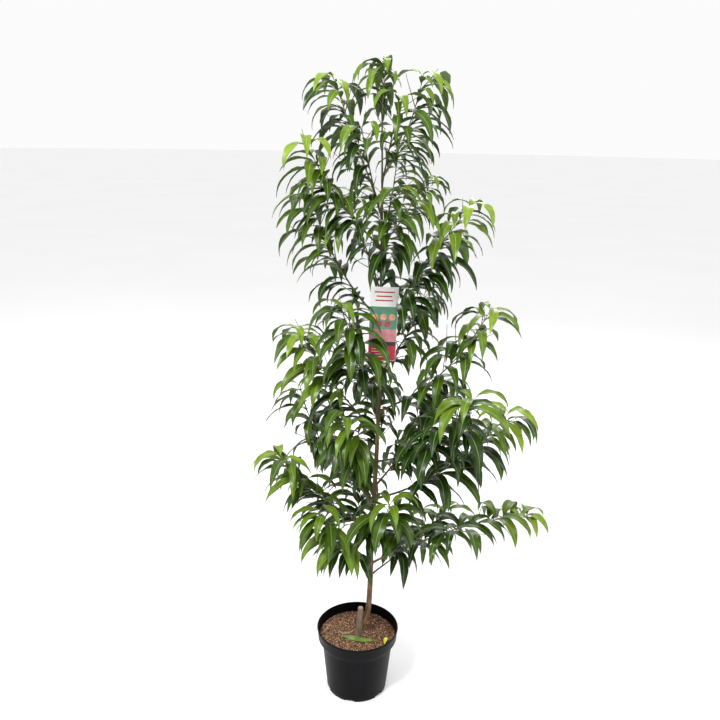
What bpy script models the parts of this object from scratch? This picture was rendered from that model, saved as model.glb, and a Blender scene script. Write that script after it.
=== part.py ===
"""A young grafted peach-type fruit tree standing in its round black nursery pot.

Metres, +Z up. The origin is the centre of the pot's flat underside, +X is the right-hand side
of the tree and -Y its front. Every limb is an arc that leaves the trunk: its lower stretch is a
bare bough, and the rest is the stem of one mass of foliage, with side twigs and drooping
lance-shaped leaves that keep to the space nearest to that limb.
"""

import math
import random
from collections import namedtuple

import bmesh
import bpy
import numpy as np
from mathutils import Matrix, Vector
from mathutils.bvhtree import BVHTree

# Clearance between two pieces that touch on the real tree
GAP = 0.0003

# Pot: a tapered body, a shoulder, and a taller, wider collar with a rolled lip
POT_HEIGHT = 0.200
POT_FOOT_RADIUS = 0.0885
POT_BODY_RADIUS = 0.1045
POT_SHOULDER_HEIGHT = 0.159
POT_COLLAR_HEIGHT = 0.165
POT_COLLAR_RADIUS = 0.1165
POT_RIM_RADIUS = 0.120
POT_LIP = 0.004
POT_WALL = 0.002
POT_FLOOR = 0.003
POT_SIDES = 36
DRAIN_COUNT = 6
DRAIN_WIDTH = 0.028
DRAIN_HEIGHT = 0.008

# Soil: a filling with an uneven crust a few centimetres below the rim
SOIL_LEVEL = 0.173
SOIL_FLAT_RADIUS = 0.024
SOIL_EDGE_DROP = 0.0035
SOIL_RINGS = 6
SOIL_MOUND = (0.068, -0.020, 0.030, 0.009)
SOIL_HOLLOW = (0.042, 0.036, 0.026, -0.012)

# Trunk: the cut-back stock rises from the soil, and the grafted stem leaves its right side
STOCK_FOOT = (0.004, -0.009)
STOCK_LEAN = (0.045, 0.02)
STOCK_HEIGHT = 0.095
STOCK_RADIUS = 0.0100
STOCK_TOP_RADIUS = 0.0080
STOCK_FLARE = 0.0045
STOCK_FLARE_HEIGHT = 0.016
STOCK_CUT_EDGE = 0.0015
STOCK_RINGS = (0.0, 0.003, 0.008, 0.016, 0.035, 0.060, 0.080, STOCK_HEIGHT - STOCK_CUT_EDGE, STOCK_HEIGHT)
STOCK_SIDES = 12
STOCK_BUMP = 0.05
TRUNK_LINE = (
    (0.005, -0.008, 0.190),
    (0.018, -0.004, 0.214),
    (0.030, 0.000, 0.252),
    (0.0345, 0.001, 0.340),
    (0.036, 0.000, 0.490),
    (0.046, -0.003, 0.830),
    (0.046, 0.002, 1.150),
    (0.043, 0.000, 1.440),
    (0.038, 0.002, 1.650),
)
TRUNK_BASE_RADIUS = 0.0084
TRUNK_TIP_RADIUS = 0.0019
TRUNK_STEPS = 20
TRUNK_SIDES = 8

# Limbs: shares and sizes that every limb follows
BOUGH_SHARE = 0.18
BOUGH_SIDES = 5
BOUGH_THICKNESS = (0.0017, 0.0036)
TWIG_TIP_RADIUS = 0.0011
LIMB_SWAY = 5.0
LIMB_STEPS = 12
SIDE_TWIG_RADIUS = 0.0017
SIDE_TWIG_LENGTH = (0.26, 0.16)
SIDE_TWIG_SPREAD = 48.0
TURN = 137.5

# Leaves: lance-shaped, leaving the twig upwards, arching over and hanging
LEAF_LENGTH = 0.146
LEAF_YOUNG = 0.62
LEAF_OLD = 1.04
LEAF_VARIES = (0.88, 1.10)
LEAF_WIDTH_RATIO = 0.28
LEAF_THICKNESS = 0.0016
LEAF_FOLD = 0.10
LEAF_RISE = (15.0, 52.0)
LEAF_DROOP = (-98.0, -58.0)
LEAF_WIDEST = 0.42
LEAF_SINK = 0.0005
LEAF_TRIES = 9
LEAF_CLEARANCE = 0.0012

# Each mass keeps to the space nearest to its own limb, measured this far below the limb
# because the leaves hang, and goes no further from it than the reach
SPACE_DROP = 0.035
SPACE_REACH = 0.150
SPACE_MARGIN = 0.002

# Name card on its strap round the trunk
CARD_CENTRE = (0.053, -0.0155)
CARD_SIZE = (0.073, 0.198, 0.0008)
CARD_TOP = 1.226
CARD_TILT = 1.2
STRAP_LEVEL = 1.245
STRAP_WIDTH = 0.006
STRAP_THICKNESS = 0.0012
STRAP_OVERLAP = 0.014
STRAP_SIDES = 16

SEED = 41

# name, height on the trunk, compass angle (0 right, 90 back, 180 left, 270 front), length,
# pitch above level at its foot and at its tip, leaves, side twigs
Limb = namedtuple("Limb", "name height angle length foot_pitch tip_pitch leaves twigs")
LIMBS = (
    Limb("01", 0.370, 28, 0.300, 24, 36, 20, 3),
    Limb("02", 0.408, 6, 0.490, 32, 0, 24, 3),
    Limb("03", 0.418, 215, 0.280, 42, 60, 16, 2),
    Limb("04", 0.450, 108, 0.330, 34, 60, 18, 2),
    Limb("05", 0.523, 190, 0.360, 30, 56, 22, 3),
    Limb("06", 0.500, 284, 0.260, 35, 60, 14, 1),
    Limb("07", 0.612, 154, 0.400, 28, 76, 22, 3),
    Limb("08", 0.617, 354, 0.470, 17, 60, 25, 4),
    Limb("09", 0.655, 38, 0.380, 30, 62, 22, 3),
    Limb("10", 0.732, 322, 0.400, 21, 60, 22, 3),
    Limb("11", 0.700, 243, 0.280, 40, 62, 15, 2),
    Limb("12", 0.725, 92, 0.320, 38, 66, 17, 2),
    Limb("13", 0.819, 178, 0.370, 44, 62, 20, 2),
    Limb("14", 0.880, 15, 0.430, 19, 64, 20, 2),
    Limb("15", 0.860, 122, 0.330, 45, 70, 17, 2),
    Limb("16", 0.930, 226, 0.300, 50, 72, 16, 2),
    Limb("17", 0.980, 56, 0.320, 24, 56, 17, 2),
    Limb("18", 1.087, 352, 0.420, 62, 54, 23, 3),
    Limb("19", 1.132, 165, 0.400, 43, 76, 21, 2),
    Limb("20", 1.270, 278, 0.230, 52, 70, 12, 1),
    Limb("21", 1.175, 92, 0.320, 50, 70, 16, 2),
    Limb("22", 1.322, 203, 0.335, 42, 62, 18, 2),
    Limb("23", 1.350, 70, 0.290, 54, 70, 14, 1),
    Limb("24", 1.416, 160, 0.350, 66, 68, 18, 2),
    Limb("25", 1.490, 292, 0.220, 58, 72, 11, 1),
    Limb("26", 1.498, 18, 0.270, 56, 80, 13, 1),
    Limb("27", 1.208, 132, 0.280, 56, 72, 13, 1),
    Limb("28", 1.400, 242, 0.250, 52, 72, 12, 1),
    Limb("29", 1.330, 338, 0.200, 48, 66, 10, 0),
    Limb("top", 1.650, 0, 0.118, 89, 86, 16, 0),
)
NO_BOUGH = ("20", "23", "25", "26", "27", "28", "29", "top")


def clear_scene():
    for thing in list(bpy.data.objects):
        bpy.data.objects.remove(thing, do_unlink=True)


def material(name, colour, roughness, metallic=0.0):
    found = bpy.data.materials.get(name)
    if found:
        return found
    made = bpy.data.materials.new(name)
    made.use_nodes = True
    made.diffuse_color = (*colour, 1.0)
    shader = made.node_tree.nodes["Principled BSDF"]
    shader.inputs["Base Color"].default_value = (*colour, 1.0)
    shader.inputs["Roughness"].default_value = roughness
    shader.inputs["Metallic"].default_value = metallic
    return made


def bark():
    return material("bark", (0.115, 0.078, 0.042), 0.72)


def add_object(name, points, faces, surface=None):
    """A mesh object from lists of points and faces, with its faces turned outwards."""
    mesh = bpy.data.meshes.new(name)
    mesh.from_pydata([tuple(point) for point in points], [], faces)
    shape = bmesh.new()
    shape.from_mesh(mesh)
    bmesh.ops.recalc_face_normals(shape, faces=shape.faces)
    shape.to_mesh(mesh)
    shape.free()
    made = bpy.data.objects.new(name, mesh)
    bpy.context.scene.collection.objects.link(made)
    if surface:
        mesh.materials.append(surface)
    return made


def shade(thing, degrees=35.0):
    thing.data.shade_smooth()
    thing.data.set_sharp_from_angle(angle=math.radians(degrees))


def applied(thing):
    """The object with its modifiers made part of its mesh."""
    graph = bpy.context.evaluated_depsgraph_get()
    mesh = bpy.data.meshes.new_from_object(thing.evaluated_get(graph), depsgraph=graph)
    old = thing.data
    name = old.name
    thing.modifiers.clear()
    thing.data = mesh
    bpy.data.meshes.remove(old)
    mesh.name = name
    return thing


def cut_away(thing, cutter):
    change = thing.modifiers.new("cut", "BOOLEAN")
    change.operation = "DIFFERENCE"
    change.solver = "EXACT"
    change.object = cutter
    applied(thing)


def drop_loose_scraps(thing):
    """Keeps only the largest connected piece of a fused mesh."""
    shape = bmesh.new()
    shape.from_mesh(thing.data)
    left = set(shape.faces)
    pieces = []
    while left:
        piece = {left.pop()}
        edge_of = list(piece)
        while edge_of:
            face = edge_of.pop()
            near = {other for edge in face.edges for other in edge.link_faces} & left
            left -= near
            piece |= near
            edge_of.extend(near)
        pieces.append(piece)
    keep = max(pieces, key=len)
    scraps = [face for piece in pieces if piece is not keep for face in piece]
    bmesh.ops.delete(shape, geom=scraps, context="FACES")
    shape.to_mesh(thing.data)
    shape.free()


def fuse(base, pieces):
    """One Boolean union of the pieces onto the base; the pieces are then removed."""
    group = bpy.data.collections.new(base.name + "_pieces")
    bpy.context.scene.collection.children.link(group)
    for piece in pieces:
        bpy.context.scene.collection.objects.unlink(piece)
        group.objects.link(piece)
    change = base.modifiers.new("fuse", "BOOLEAN")
    change.operation = "UNION"
    change.solver = "EXACT"
    change.operand_type = "COLLECTION"
    change.collection = group
    applied(base)
    for piece in pieces:
        bpy.data.objects.remove(piece, do_unlink=True)
    bpy.data.collections.remove(group)
    drop_loose_scraps(base)


def smooth_line(stations, steps):
    """Points along a Catmull-Rom curve through the stations, evenly numbered between them."""
    knots = [Vector(station) for station in stations]
    knots = [2 * knots[0] - knots[1], *knots, 2 * knots[-1] - knots[-2]]
    spans = len(stations) - 1
    line = []
    for step in range(steps + 1):
        place = min(step / steps * spans, spans - 1e-9)
        span = int(place)
        t = place - span
        a, b, c, d = knots[span : span + 4]
        line.append(
            0.5 * (2 * b + (c - a) * t + (2 * a - 5 * b + 4 * c - d) * t ** 2
                   + (3 * b - a - 3 * c + d) * t ** 3)
        )
    return line


def tube(line, radii, sides):
    """A closed tube of that many sides round the line, with flat ends square to it."""
    across = None
    points = []
    for index, centre in enumerate(line):
        ahead = line[min(index + 1, len(line) - 1)]
        behind = line[max(index - 1, 0)]
        along = (ahead - behind).normalized()
        if across is None:
            across = along.orthogonal().normalized()
        across = (across - along * across.dot(along)).normalized()
        other = along.cross(across)
        for side in range(sides):
            turn = 2 * math.pi * side / sides
            ray = across * math.cos(turn) + other * math.sin(turn)
            points.append(centre + ray * radii[index])
    faces = []
    for ring in range(len(line) - 1):
        for side in range(sides):
            low = ring * sides
            after = (side + 1) % sides
            faces.append((low + side, low + after, low + sides + after, low + sides + side))
    faces.append(tuple(range(sides))[::-1])
    last = (len(line) - 1) * sides
    faces.append(tuple(last + side for side in range(sides)))
    return points, faces


def turned(profile, sides):
    """A surface turned about Z from (radius, height) pairs; a radius of 0 closes it."""
    points = []
    rings = []
    for radius, height in profile:
        if radius == 0:
            rings.append([len(points)])
            points.append((0.0, 0.0, height))
            continue
        rings.append(list(range(len(points), len(points) + sides)))
        for side in range(sides):
            turn = 2 * math.pi * side / sides
            points.append((radius * math.cos(turn), radius * math.sin(turn), height))
    faces = []
    for low, high in zip(rings, rings[1:]):
        for side in range(sides):
            after = (side + 1) % sides
            if len(low) == 1:
                faces.append((low[0], high[after], high[side]))
            elif len(high) == 1:
                faces.append((low[side], low[after], high[0]))
            else:
                faces.append((low[side], low[after], high[after], high[side]))
    return points, faces


def pot_inner_profile(clearance):
    """The inside of the pot from the floor up, moved in by the clearance."""
    floor_radius = POT_FOOT_RADIUS - POT_WALL - clearance
    shoulder_radius = POT_BODY_RADIUS - POT_WALL - clearance
    collar_radius = POT_COLLAR_RADIUS - POT_WALL - clearance
    rim_radius = POT_RIM_RADIUS - POT_LIP - clearance
    return [
        (floor_radius, POT_FLOOR + clearance),
        (shoulder_radius, POT_SHOULDER_HEIGHT + POT_WALL + clearance),
        (collar_radius, POT_COLLAR_HEIGHT + POT_WALL + clearance),
        (rim_radius, POT_HEIGHT - POT_LIP),
    ]


def make_pot():
    lip = POT_LIP
    outside = [
        (0, 0),
        (POT_FOOT_RADIUS - 0.001, 0),
        (POT_FOOT_RADIUS, 0.001),
        (POT_BODY_RADIUS, POT_SHOULDER_HEIGHT),
        (POT_COLLAR_RADIUS, POT_COLLAR_HEIGHT),
        (POT_RIM_RADIUS - 0.0015, POT_HEIGHT - 1.6 * lip),
        (POT_RIM_RADIUS, POT_HEIGHT - 1.2 * lip),
        (POT_RIM_RADIUS, POT_HEIGHT - 0.3 * lip),
        (POT_RIM_RADIUS - 0.3 * lip, POT_HEIGHT),
        (POT_RIM_RADIUS - 0.7 * lip, POT_HEIGHT),
        (POT_RIM_RADIUS - lip, POT_HEIGHT - 0.3 * lip),
    ]
    inside = pot_inner_profile(0.0)[::-1] + [(0, POT_FLOOR)]
    points, faces = turned(outside + inside, POT_SIDES)
    plastic = material("pot_plastic", (0.012, 0.013, 0.017), 0.42)
    pot = add_object("pot", points, faces, plastic)
    for index in range(DRAIN_COUNT):
        turn = math.radians(258) + 2 * math.pi * index / DRAIN_COUNT
        cutter = drain_cutter(turn)
        cut_away(pot, cutter)
        bpy.data.objects.remove(cutter, do_unlink=True)
    shade(pot, 30.0)
    return pot


def drain_cutter(turn):
    """An arched block across the pot's bottom edge, above its floor's underside."""
    half = DRAIN_WIDTH / 2
    arch = [(-half, 0.0), (half, 0.0)]
    for step in range(5):
        angle = math.pi * step / 4
        arch.append((half * math.cos(angle), DRAIN_HEIGHT * (0.45 + 0.55 * math.sin(angle))))
    near = POT_FOOT_RADIUS - 0.0045
    far = POT_FOOT_RADIUS + 0.008
    out = Vector((math.cos(turn), math.sin(turn), 0))
    side = Vector((-math.sin(turn), math.cos(turn), 0))
    points = []
    for reach in (near, far):
        for across, up in arch:
            points.append(out * reach + side * across + Vector((0, 0, up - 0.0002)))
    count = len(arch)
    faces = [tuple(range(count)), tuple(range(count, 2 * count))]
    for index in range(count):
        after = (index + 1) % count
        faces.append((index, after, count + after, count + index))
    cutter = add_object("drain_cutter", points, faces)
    cutter.hide_render = True
    cutter.display_type = "WIRE"
    return cutter


def soil_height(x, y):
    """The crust's height: flat round the trunk, with a mound, a hollow and a rough surface."""
    height = 0.0
    for centre_x, centre_y, spread, rise in (SOIL_MOUND, SOIL_HOLLOW):
        away = math.hypot(x - centre_x, y - centre_y)
        height += rise * math.exp(-((away / spread) ** 2))
    height += 0.0014 * math.sin(95 * x + 1.1) * math.cos(80 * y - 0.4)
    height -= SOIL_EDGE_DROP * (math.hypot(x, y) / POT_COLLAR_RADIUS) ** 4
    from_trunk = math.hypot(x - STOCK_FOOT[0], y - STOCK_FOOT[1])
    ease = min(max((from_trunk - SOIL_FLAT_RADIUS) / 0.018, 0.0), 1.0)
    return SOIL_LEVEL - GAP + height * ease


def make_soil():
    wall = pot_inner_profile(GAP)
    floor, shoulder, collar, rim = wall
    share = (SOIL_LEVEL - collar[1]) / (rim[1] - collar[1])
    edge_radius = collar[0] + (rim[0] - collar[0]) * share - 0.0004
    profile = [(0, floor[1]), floor, shoulder, collar]
    points, faces = turned(profile, POT_SIDES)
    rings = [list(range(len(points) - POT_SIDES, len(points)))]
    for ring in range(SOIL_RINGS):
        share = 1 - ring / SOIL_RINGS
        start = len(points)
        for spoke in range(POT_SIDES):
            turn = 2 * math.pi * spoke / POT_SIDES
            centre = (1 - share) ** 2
            x = STOCK_FOOT[0] * centre + edge_radius * share * math.cos(turn)
            y = STOCK_FOOT[1] * centre + edge_radius * share * math.sin(turn)
            points.append((x, y, soil_height(x, y)))
        rings.append(list(range(start, start + POT_SIDES)))
    for low, high in zip(rings, rings[1:]):
        for spoke in range(POT_SIDES):
            after = (spoke + 1) % POT_SIDES
            faces.append((low[spoke], low[after], high[after], high[spoke]))
    middle = len(points)
    points.append((*STOCK_FOOT, SOIL_LEVEL - GAP))
    for spoke in range(POT_SIDES):
        after = (spoke + 1) % POT_SIDES
        faces.append((rings[-1][spoke], rings[-1][after], middle))
    soil = add_object("soil", points, faces, material("bark_compost", (0.16, 0.085, 0.048), 0.95))
    shade(soil, 50.0)
    return soil


def trunk_radius(height):
    """Radius of the grafted stem, tapering from the graft to its tip."""
    bottom = TRUNK_LINE[0][2]
    top = TRUNK_LINE[-1][2]
    share = min(max((height - bottom) / (top - bottom), 0.0), 1.0)
    return TRUNK_TIP_RADIUS + (TRUNK_BASE_RADIUS - TRUNK_TIP_RADIUS) * (1 - share) ** 1.05


def trunk_at(height):
    """The point on the trunk's centre line at that height."""
    line = smooth_line(TRUNK_LINE, 120)
    for low, high in zip(line, line[1:]):
        if low.z <= height <= high.z:
            return low.lerp(high, (height - low.z) / (high.z - low.z))
    return line[-1].copy()


def trunk_tube(name, swell=0.0):
    line = smooth_line(TRUNK_LINE, TRUNK_STEPS)
    radii = [trunk_radius(point.z) + swell for point in line]
    points, faces = tube(line, radii, TRUNK_SIDES)
    return add_object(name, points, faces, bark())


def stock_radius(rise):
    """Radius of the cut-back stock: a root flare at the soil, then a gentle taper."""
    flare = STOCK_FLARE * max(0.0, 1 - rise / STOCK_FLARE_HEIGHT) ** 1.7
    share = rise / STOCK_HEIGHT
    return STOCK_RADIUS + (STOCK_TOP_RADIUS - STOCK_RADIUS) * share + flare


def make_trunk():
    """The stock, cut flat at soil level and pruned flat above, fused with the grafted stem."""
    points = []
    for rise in STOCK_RINGS:
        radius = stock_radius(rise) - (STOCK_CUT_EDGE if rise == STOCK_HEIGHT else 0.0)
        for side in range(STOCK_SIDES):
            turn = 2 * math.pi * side / STOCK_SIDES
            bumpy = radius * (1 + STOCK_BUMP * math.sin(3 * turn + 30 * rise))
            points.append((
                STOCK_FOOT[0] + STOCK_LEAN[0] * rise + bumpy * math.cos(turn),
                STOCK_FOOT[1] + STOCK_LEAN[1] * rise + bumpy * math.sin(turn),
                SOIL_LEVEL + rise,
            ))
    last = len(points) - STOCK_SIDES
    faces = [tuple(range(STOCK_SIDES))[::-1], tuple(range(last, len(points)))]
    for low in range(0, last, STOCK_SIDES):
        for side in range(STOCK_SIDES):
            after = (side + 1) % STOCK_SIDES
            high = low + STOCK_SIDES
            faces.append((low + side, low + after, high + after, high + side))
    trunk = add_object("trunk", points, faces, bark())
    fuse(trunk, [trunk_tube("grafted_stem")])
    shade(trunk, 40.0)
    return trunk


def limb_line(limb, steps=LIMB_STEPS, drop=0.0):
    """The limb's centre line: an arc from the trunk whose pitch changes evenly to its tip."""
    place = trunk_at(limb.height) - Vector((0, 0, drop))
    line = [place.copy()]
    phase = limb.height * 40
    for step in range(steps):
        share = (step + 0.5) / steps
        pitch = math.radians(limb.foot_pitch + (limb.tip_pitch - limb.foot_pitch) * share)
        sway = LIMB_SWAY * math.sin(phase + 7 * share)
        compass = math.radians(limb.angle + sway)
        ahead = Vector((
            math.cos(pitch) * math.cos(compass),
            math.cos(pitch) * math.sin(compass),
            math.sin(pitch),
        ))
        place = place + ahead * (limb.length / steps)
        line.append(place.copy())
    return line


def along(line, share):
    """The point and direction a share of the way along an evenly spaced line."""
    place = min(max(share, 0.0), 1.0) * (len(line) - 1)
    index = min(int(place), len(line) - 2)
    step = line[index + 1] - line[index]
    return line[index] + step * (place - index), step.normalized()


def stretch(line, start, end, steps):
    return [along(line, start + (end - start) * step / steps)[0] for step in range(steps + 1)]


def limb_radius(limb, share):
    """A limb tapers evenly from its foot, thicker on a longer limb, to its thin tip."""
    foot = BOUGH_THICKNESS[0] + BOUGH_THICKNESS[1] * limb.length
    if limb.name == "top":
        foot = TRUNK_TIP_RADIUS
    return foot + (TWIG_TIP_RADIUS - foot) * share


class Spaces:
    """Tells which limb a point hangs nearest to, so that each mass keeps to its own space."""

    def __init__(self):
        starts = []
        ends = []
        for limb in LIMBS:
            line = limb_line(limb, drop=SPACE_DROP)
            starts.append([tuple(point) for point in line[:-1]])
            ends.append([tuple(point) for point in line[1:]])
        self.starts = np.array(starts)
        self.steps = np.array(ends) - self.starts

    def distances(self, points):
        """Distance of each point from each limb's lowered line."""
        points = np.array([tuple(point) for point in points])[:, None, None, :]
        along_step = ((points - self.starts) * self.steps).sum(-1)
        share = np.clip(along_step / (self.steps ** 2).sum(-1), 0, 1)[..., None]
        away = points - (self.starts + self.steps * share)
        return np.sqrt((away ** 2).sum(-1)).min(-1)

    def holds(self, index, points):
        away = self.distances(points)
        own = away[:, index]
        others = np.delete(away, index, axis=1).min(axis=1)
        return bool((own < SPACE_REACH).all() and (own + SPACE_MARGIN < others).all())


class Taken:
    """The solids already placed, which a new twig or leaf must not touch."""

    def __init__(self):
        self.shapes = []

    def add(self, points, faces, owner=None):
        tree = BVHTree.FromPolygons([Vector(point) for point in points], faces)
        centre = sum((Vector(point) for point in points), Vector()) / len(points)
        reach = max((Vector(point) - centre).length for point in points)
        self.shapes.append((centre, reach, tree, owner))

    def touches(self, points, faces, ignore):
        tree = BVHTree.FromPolygons(points, faces)
        centre = sum(points, Vector()) / len(points)
        reach = max((point - centre).length for point in points)
        for other_centre, other_reach, other, owner in self.shapes:
            if owner is not None and owner in ignore:
                continue
            if (other_centre - centre).length > reach + other_reach:
                continue
            if tree.overlap(other):
                return True
        return False


def leaf_points(root, compass, rise, droop, length):
    """The six corners of a folded leaf: base, tip, two edges, and its top and underside."""
    ahead = Vector((math.cos(compass), math.sin(compass), 0))
    place = root.copy()
    steps = 12
    middle = None
    for step in range(steps):
        share = (step + 0.5) / steps
        pitch = math.radians(rise + (droop - rise) * share)
        if middle is None and share > LEAF_WIDEST:
            middle = place.copy()
            middle_pitch = pitch
        place = place + (ahead * math.cos(pitch) + Vector((0, 0, math.sin(pitch)))) * (length / steps)
    normal = Vector((0, 0, math.cos(middle_pitch))) - ahead * math.sin(middle_pitch)
    side = Vector((-ahead.y, ahead.x, 0))
    half = LEAF_WIDTH_RATIO * length / 2
    lift = normal * LEAF_FOLD * 2 * half
    return [
        root,
        place,
        middle + side * half + lift,
        middle - side * half + lift,
        middle + normal * LEAF_THICKNESS / 2,
        middle - normal * LEAF_THICKNESS / 2,
    ]


LEAF_FACES = [
    (0, 2, 4), (0, 4, 3), (0, 3, 5), (0, 5, 2),
    (1, 4, 2), (1, 3, 4), (1, 5, 3), (1, 2, 5),
]


def swollen(points):
    """The leaf a little larger, to test it for clearance."""
    centre = sum(points, Vector()) / len(points)
    grown = []
    for point in points:
        away = point - centre
        grown.append(point + away.normalized() * LEAF_CLEARANCE)
    return grown


def leaf_probe(points):
    """Points on a leaf that are tested against the mass's space."""
    root, tip, left, right, top, _ = points
    return [tip, left, right, top, (tip + top) / 2, (root + top) / 2]


def place_leaf(index, root, ahead, compass, length, rng, spaces, taken, own):
    """A leaf at the root, turned until it is in its mass's space and clear; None if it never is."""
    for attempt in range(LEAF_TRIES):
        swing = (attempt + 1) // 2 * 31 * (-1) ** attempt
        turn = math.radians(compass + swing + rng.uniform(-9, 9))
        rise = rng.uniform(*LEAF_RISE)
        droop = rng.uniform(*LEAF_DROOP)
        size = length * (1 - 0.035 * attempt)
        base = root - Vector((math.cos(turn), math.sin(turn), 0)) * LEAF_SINK
        points = leaf_points(base, turn, rise, droop, size)
        if not spaces.holds(index, leaf_probe(points)):
            continue
        outer = swollen(points)
        # The foot of the tested leaf starts just clear of its own twig
        outer[0] = root.lerp(points[4], 0.12)
        if taken.touches(outer, LEAF_FACES, own):
            continue
        taken.add(points, LEAF_FACES)
        return points
    return None


def leaf_length(share, rng):
    """Leaves are longest in the middle of a shoot and short and young at its tip."""
    grown = math.sin(math.pi * (0.2 + 0.72 * share))
    return LEAF_LENGTH * (LEAF_YOUNG + (LEAF_OLD - LEAF_YOUNG) * grown) * rng.uniform(*LEAF_VARIES)


def place_twig(index, limb, line, share, turn, rng, spaces, taken):
    """A side twig that leaves the limb at its spread, bends up, and is clear; else None."""
    root, ahead = along(line, share)
    across = ahead.orthogonal().normalized()
    length = (SIDE_TWIG_LENGTH[0] * limb.length * (1 - share) + SIDE_TWIG_LENGTH[1] * 0.35)
    for attempt in range(LEAF_TRIES):
        spin = Matrix.Rotation(math.radians(turn + 40 * attempt), 3, ahead)
        out = spin @ across
        spread = math.radians(SIDE_TWIG_SPREAD * rng.uniform(0.85, 1.1))
        way = ahead * math.cos(spread) + out * math.sin(spread)
        if way.z < -0.05:
            continue
        size = length * rng.uniform(0.9, 1.15) * (1 - 0.05 * attempt)
        twig = [root.copy()]
        for step in range(3):
            way = (way + Vector((0, 0, 0.10))).normalized()
            twig.append(twig[-1] + way * size / 3)
        if not spaces.holds(index, twig[1:]):
            continue
        radii = [SIDE_TWIG_RADIUS, SIDE_TWIG_RADIUS * 0.85, TWIG_TIP_RADIUS * 1.1, TWIG_TIP_RADIUS * 0.9]
        points, faces = tube(twig, radii, 3)
        clear = tube([root.lerp(twig[1], 0.3), *twig[1:]], [2 * radius for radius in radii], 3)
        if taken.touches(clear[0], clear[1], {limb.name}):
            continue
        taken.add(points, faces, limb.name)
        return twig, points, faces
    return None


def grow_mass(index, limb, line, start, spaces, taken, cope):
    """One mass of foliage: the limb's own stem, side twigs and leaves, fused."""
    rng = random.Random(SEED + 17 * index)
    foliage = material("foliage_" + limb.name, (0.055, 0.125 + 0.004 * (index % 7), 0.022), 0.5)
    length = limb.length
    stem_line = stretch(line, start, 1.0, 6)
    radii = [limb_radius(limb, start + (1 - start) * step / 6) for step in range(7)]
    points, faces = tube(stem_line, radii, BOUGH_SIDES - 1)
    mass = add_object("foliage_" + limb.name, points, faces, foliage)
    if cope:
        cut_away(mass, cope)
    pieces = []
    shoots = [(line, max(start + 0.03, 0.035 / length), 1.0, limb.leaves - 4 * limb.twigs)]
    for number in range(limb.twigs):
        share = start + 0.08 + (0.88 - start) * (number + 0.3) / limb.twigs
        grown = place_twig(index, limb, line, share, 90 + TURN * number, rng, spaces, taken)
        if grown is None:
            continue
        twig, twig_points, twig_faces = grown
        pieces.append(add_object("twig", twig_points, twig_faces))
        shoots.append((twig, 0.28, 1.0, 4))
    own = {limb.name}
    for shoot, first, last, count in shoots:
        compass = rng.uniform(0, 360)
        for number in range(count):
            share = first + (last - first) * (number / max(count - 1, 1))
            root, ahead = along(shoot, min(share, 0.985))
            compass += TURN
            size = leaf_length(share, rng)
            leaf = place_leaf(index, root, ahead, compass, size, rng, spaces, taken, own)
            if leaf:
                pieces.append(add_object("leaf", leaf, LEAF_FACES))
    fuse(mass, pieces)
    shade(mass, 25.0)
    return mass


def make_bough(limb, line, cope):
    """The bare lower stretch of a limb, coped to the trunk and cut square where leaves begin."""
    length = limb.length
    stem_line = stretch(line, 0.0, BOUGH_SHARE - GAP / length, 3)
    radii = [limb_radius(limb, BOUGH_SHARE * step / 3) for step in range(4)]
    points, faces = tube(stem_line, radii, BOUGH_SIDES)
    bough = add_object("bough_" + limb.name, points, faces, bark())
    cut_away(bough, cope)
    drop_loose_scraps(bough)
    shade(bough, 40.0)
    return bough


def box_points(centre, size, tilt):
    """A box turned about Y, as eight points and six faces."""
    turn = Matrix.Rotation(math.radians(tilt), 3, "Y")
    half_x, half_y, half_z = size[0] / 2, size[2] / 2, size[1] / 2
    corners = [
        (-half_x, -half_y, -half_z), (half_x, -half_y, -half_z),
        (half_x, half_y, -half_z), (-half_x, half_y, -half_z),
        (-half_x, -half_y, half_z), (half_x, -half_y, half_z),
        (half_x, half_y, half_z), (-half_x, half_y, half_z),
    ]
    points = [turn @ Vector(corner) + Vector(centre) for corner in corners]
    faces = [(0, 3, 2, 1), (4, 5, 6, 7), (0, 1, 5, 4), (1, 2, 6, 5), (2, 3, 7, 6), (3, 0, 4, 7)]
    return points, faces


def make_card():
    """The plain name card, and the strap that holds it to the trunk."""
    centre = (CARD_CENTRE[0], CARD_CENTRE[1], CARD_TOP - CARD_SIZE[1] / 2)
    points, faces = box_points(centre, CARD_SIZE, CARD_TILT)
    card = add_object("label_card", points, faces, material("card", (0.75, 0.72, 0.70), 0.45))
    ring_centre = trunk_at(STRAP_LEVEL)
    inner = (trunk_radius(STRAP_LEVEL) + GAP) / math.cos(math.pi / STRAP_SIDES)
    outer = inner + STRAP_THICKNESS
    half = STRAP_WIDTH / 2
    section = [(inner, -half), (outer, -half), (outer, half), (inner, half)]
    points = []
    for radius, height in section:
        for side in range(STRAP_SIDES):
            turn = 2 * math.pi * side / STRAP_SIDES
            ray = Vector((radius * math.cos(turn), radius * math.sin(turn), height))
            points.append(ring_centre + ray)
    faces = []
    for corner in range(len(section)):
        low = corner * STRAP_SIDES
        high = (corner + 1) % len(section) * STRAP_SIDES
        for side in range(STRAP_SIDES):
            after = (side + 1) % STRAP_SIDES
            faces.append((low + side, low + after, high + after, high + side))
    strap = add_object("label_strap", points, faces, material("strap", (0.05, 0.16, 0.10), 0.5))
    card_back = CARD_CENTRE[1] + CARD_SIZE[2] / 2 + GAP
    top = STRAP_LEVEL + half - STRAP_THICKNESS
    bottom = CARD_TOP - STRAP_OVERLAP
    front = ring_centre.y - outer + STRAP_THICKNESS / 2
    depth = front - card_back
    tail_centre = (ring_centre.x, (front + card_back) / 2, (top + bottom) / 2)
    points, faces = box_points(tail_centre, (STRAP_WIDTH, top - bottom, depth), 0)
    fuse(strap, [add_object("tail", points, faces)])
    shade(strap, 30.0)
    return card, strap


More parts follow.
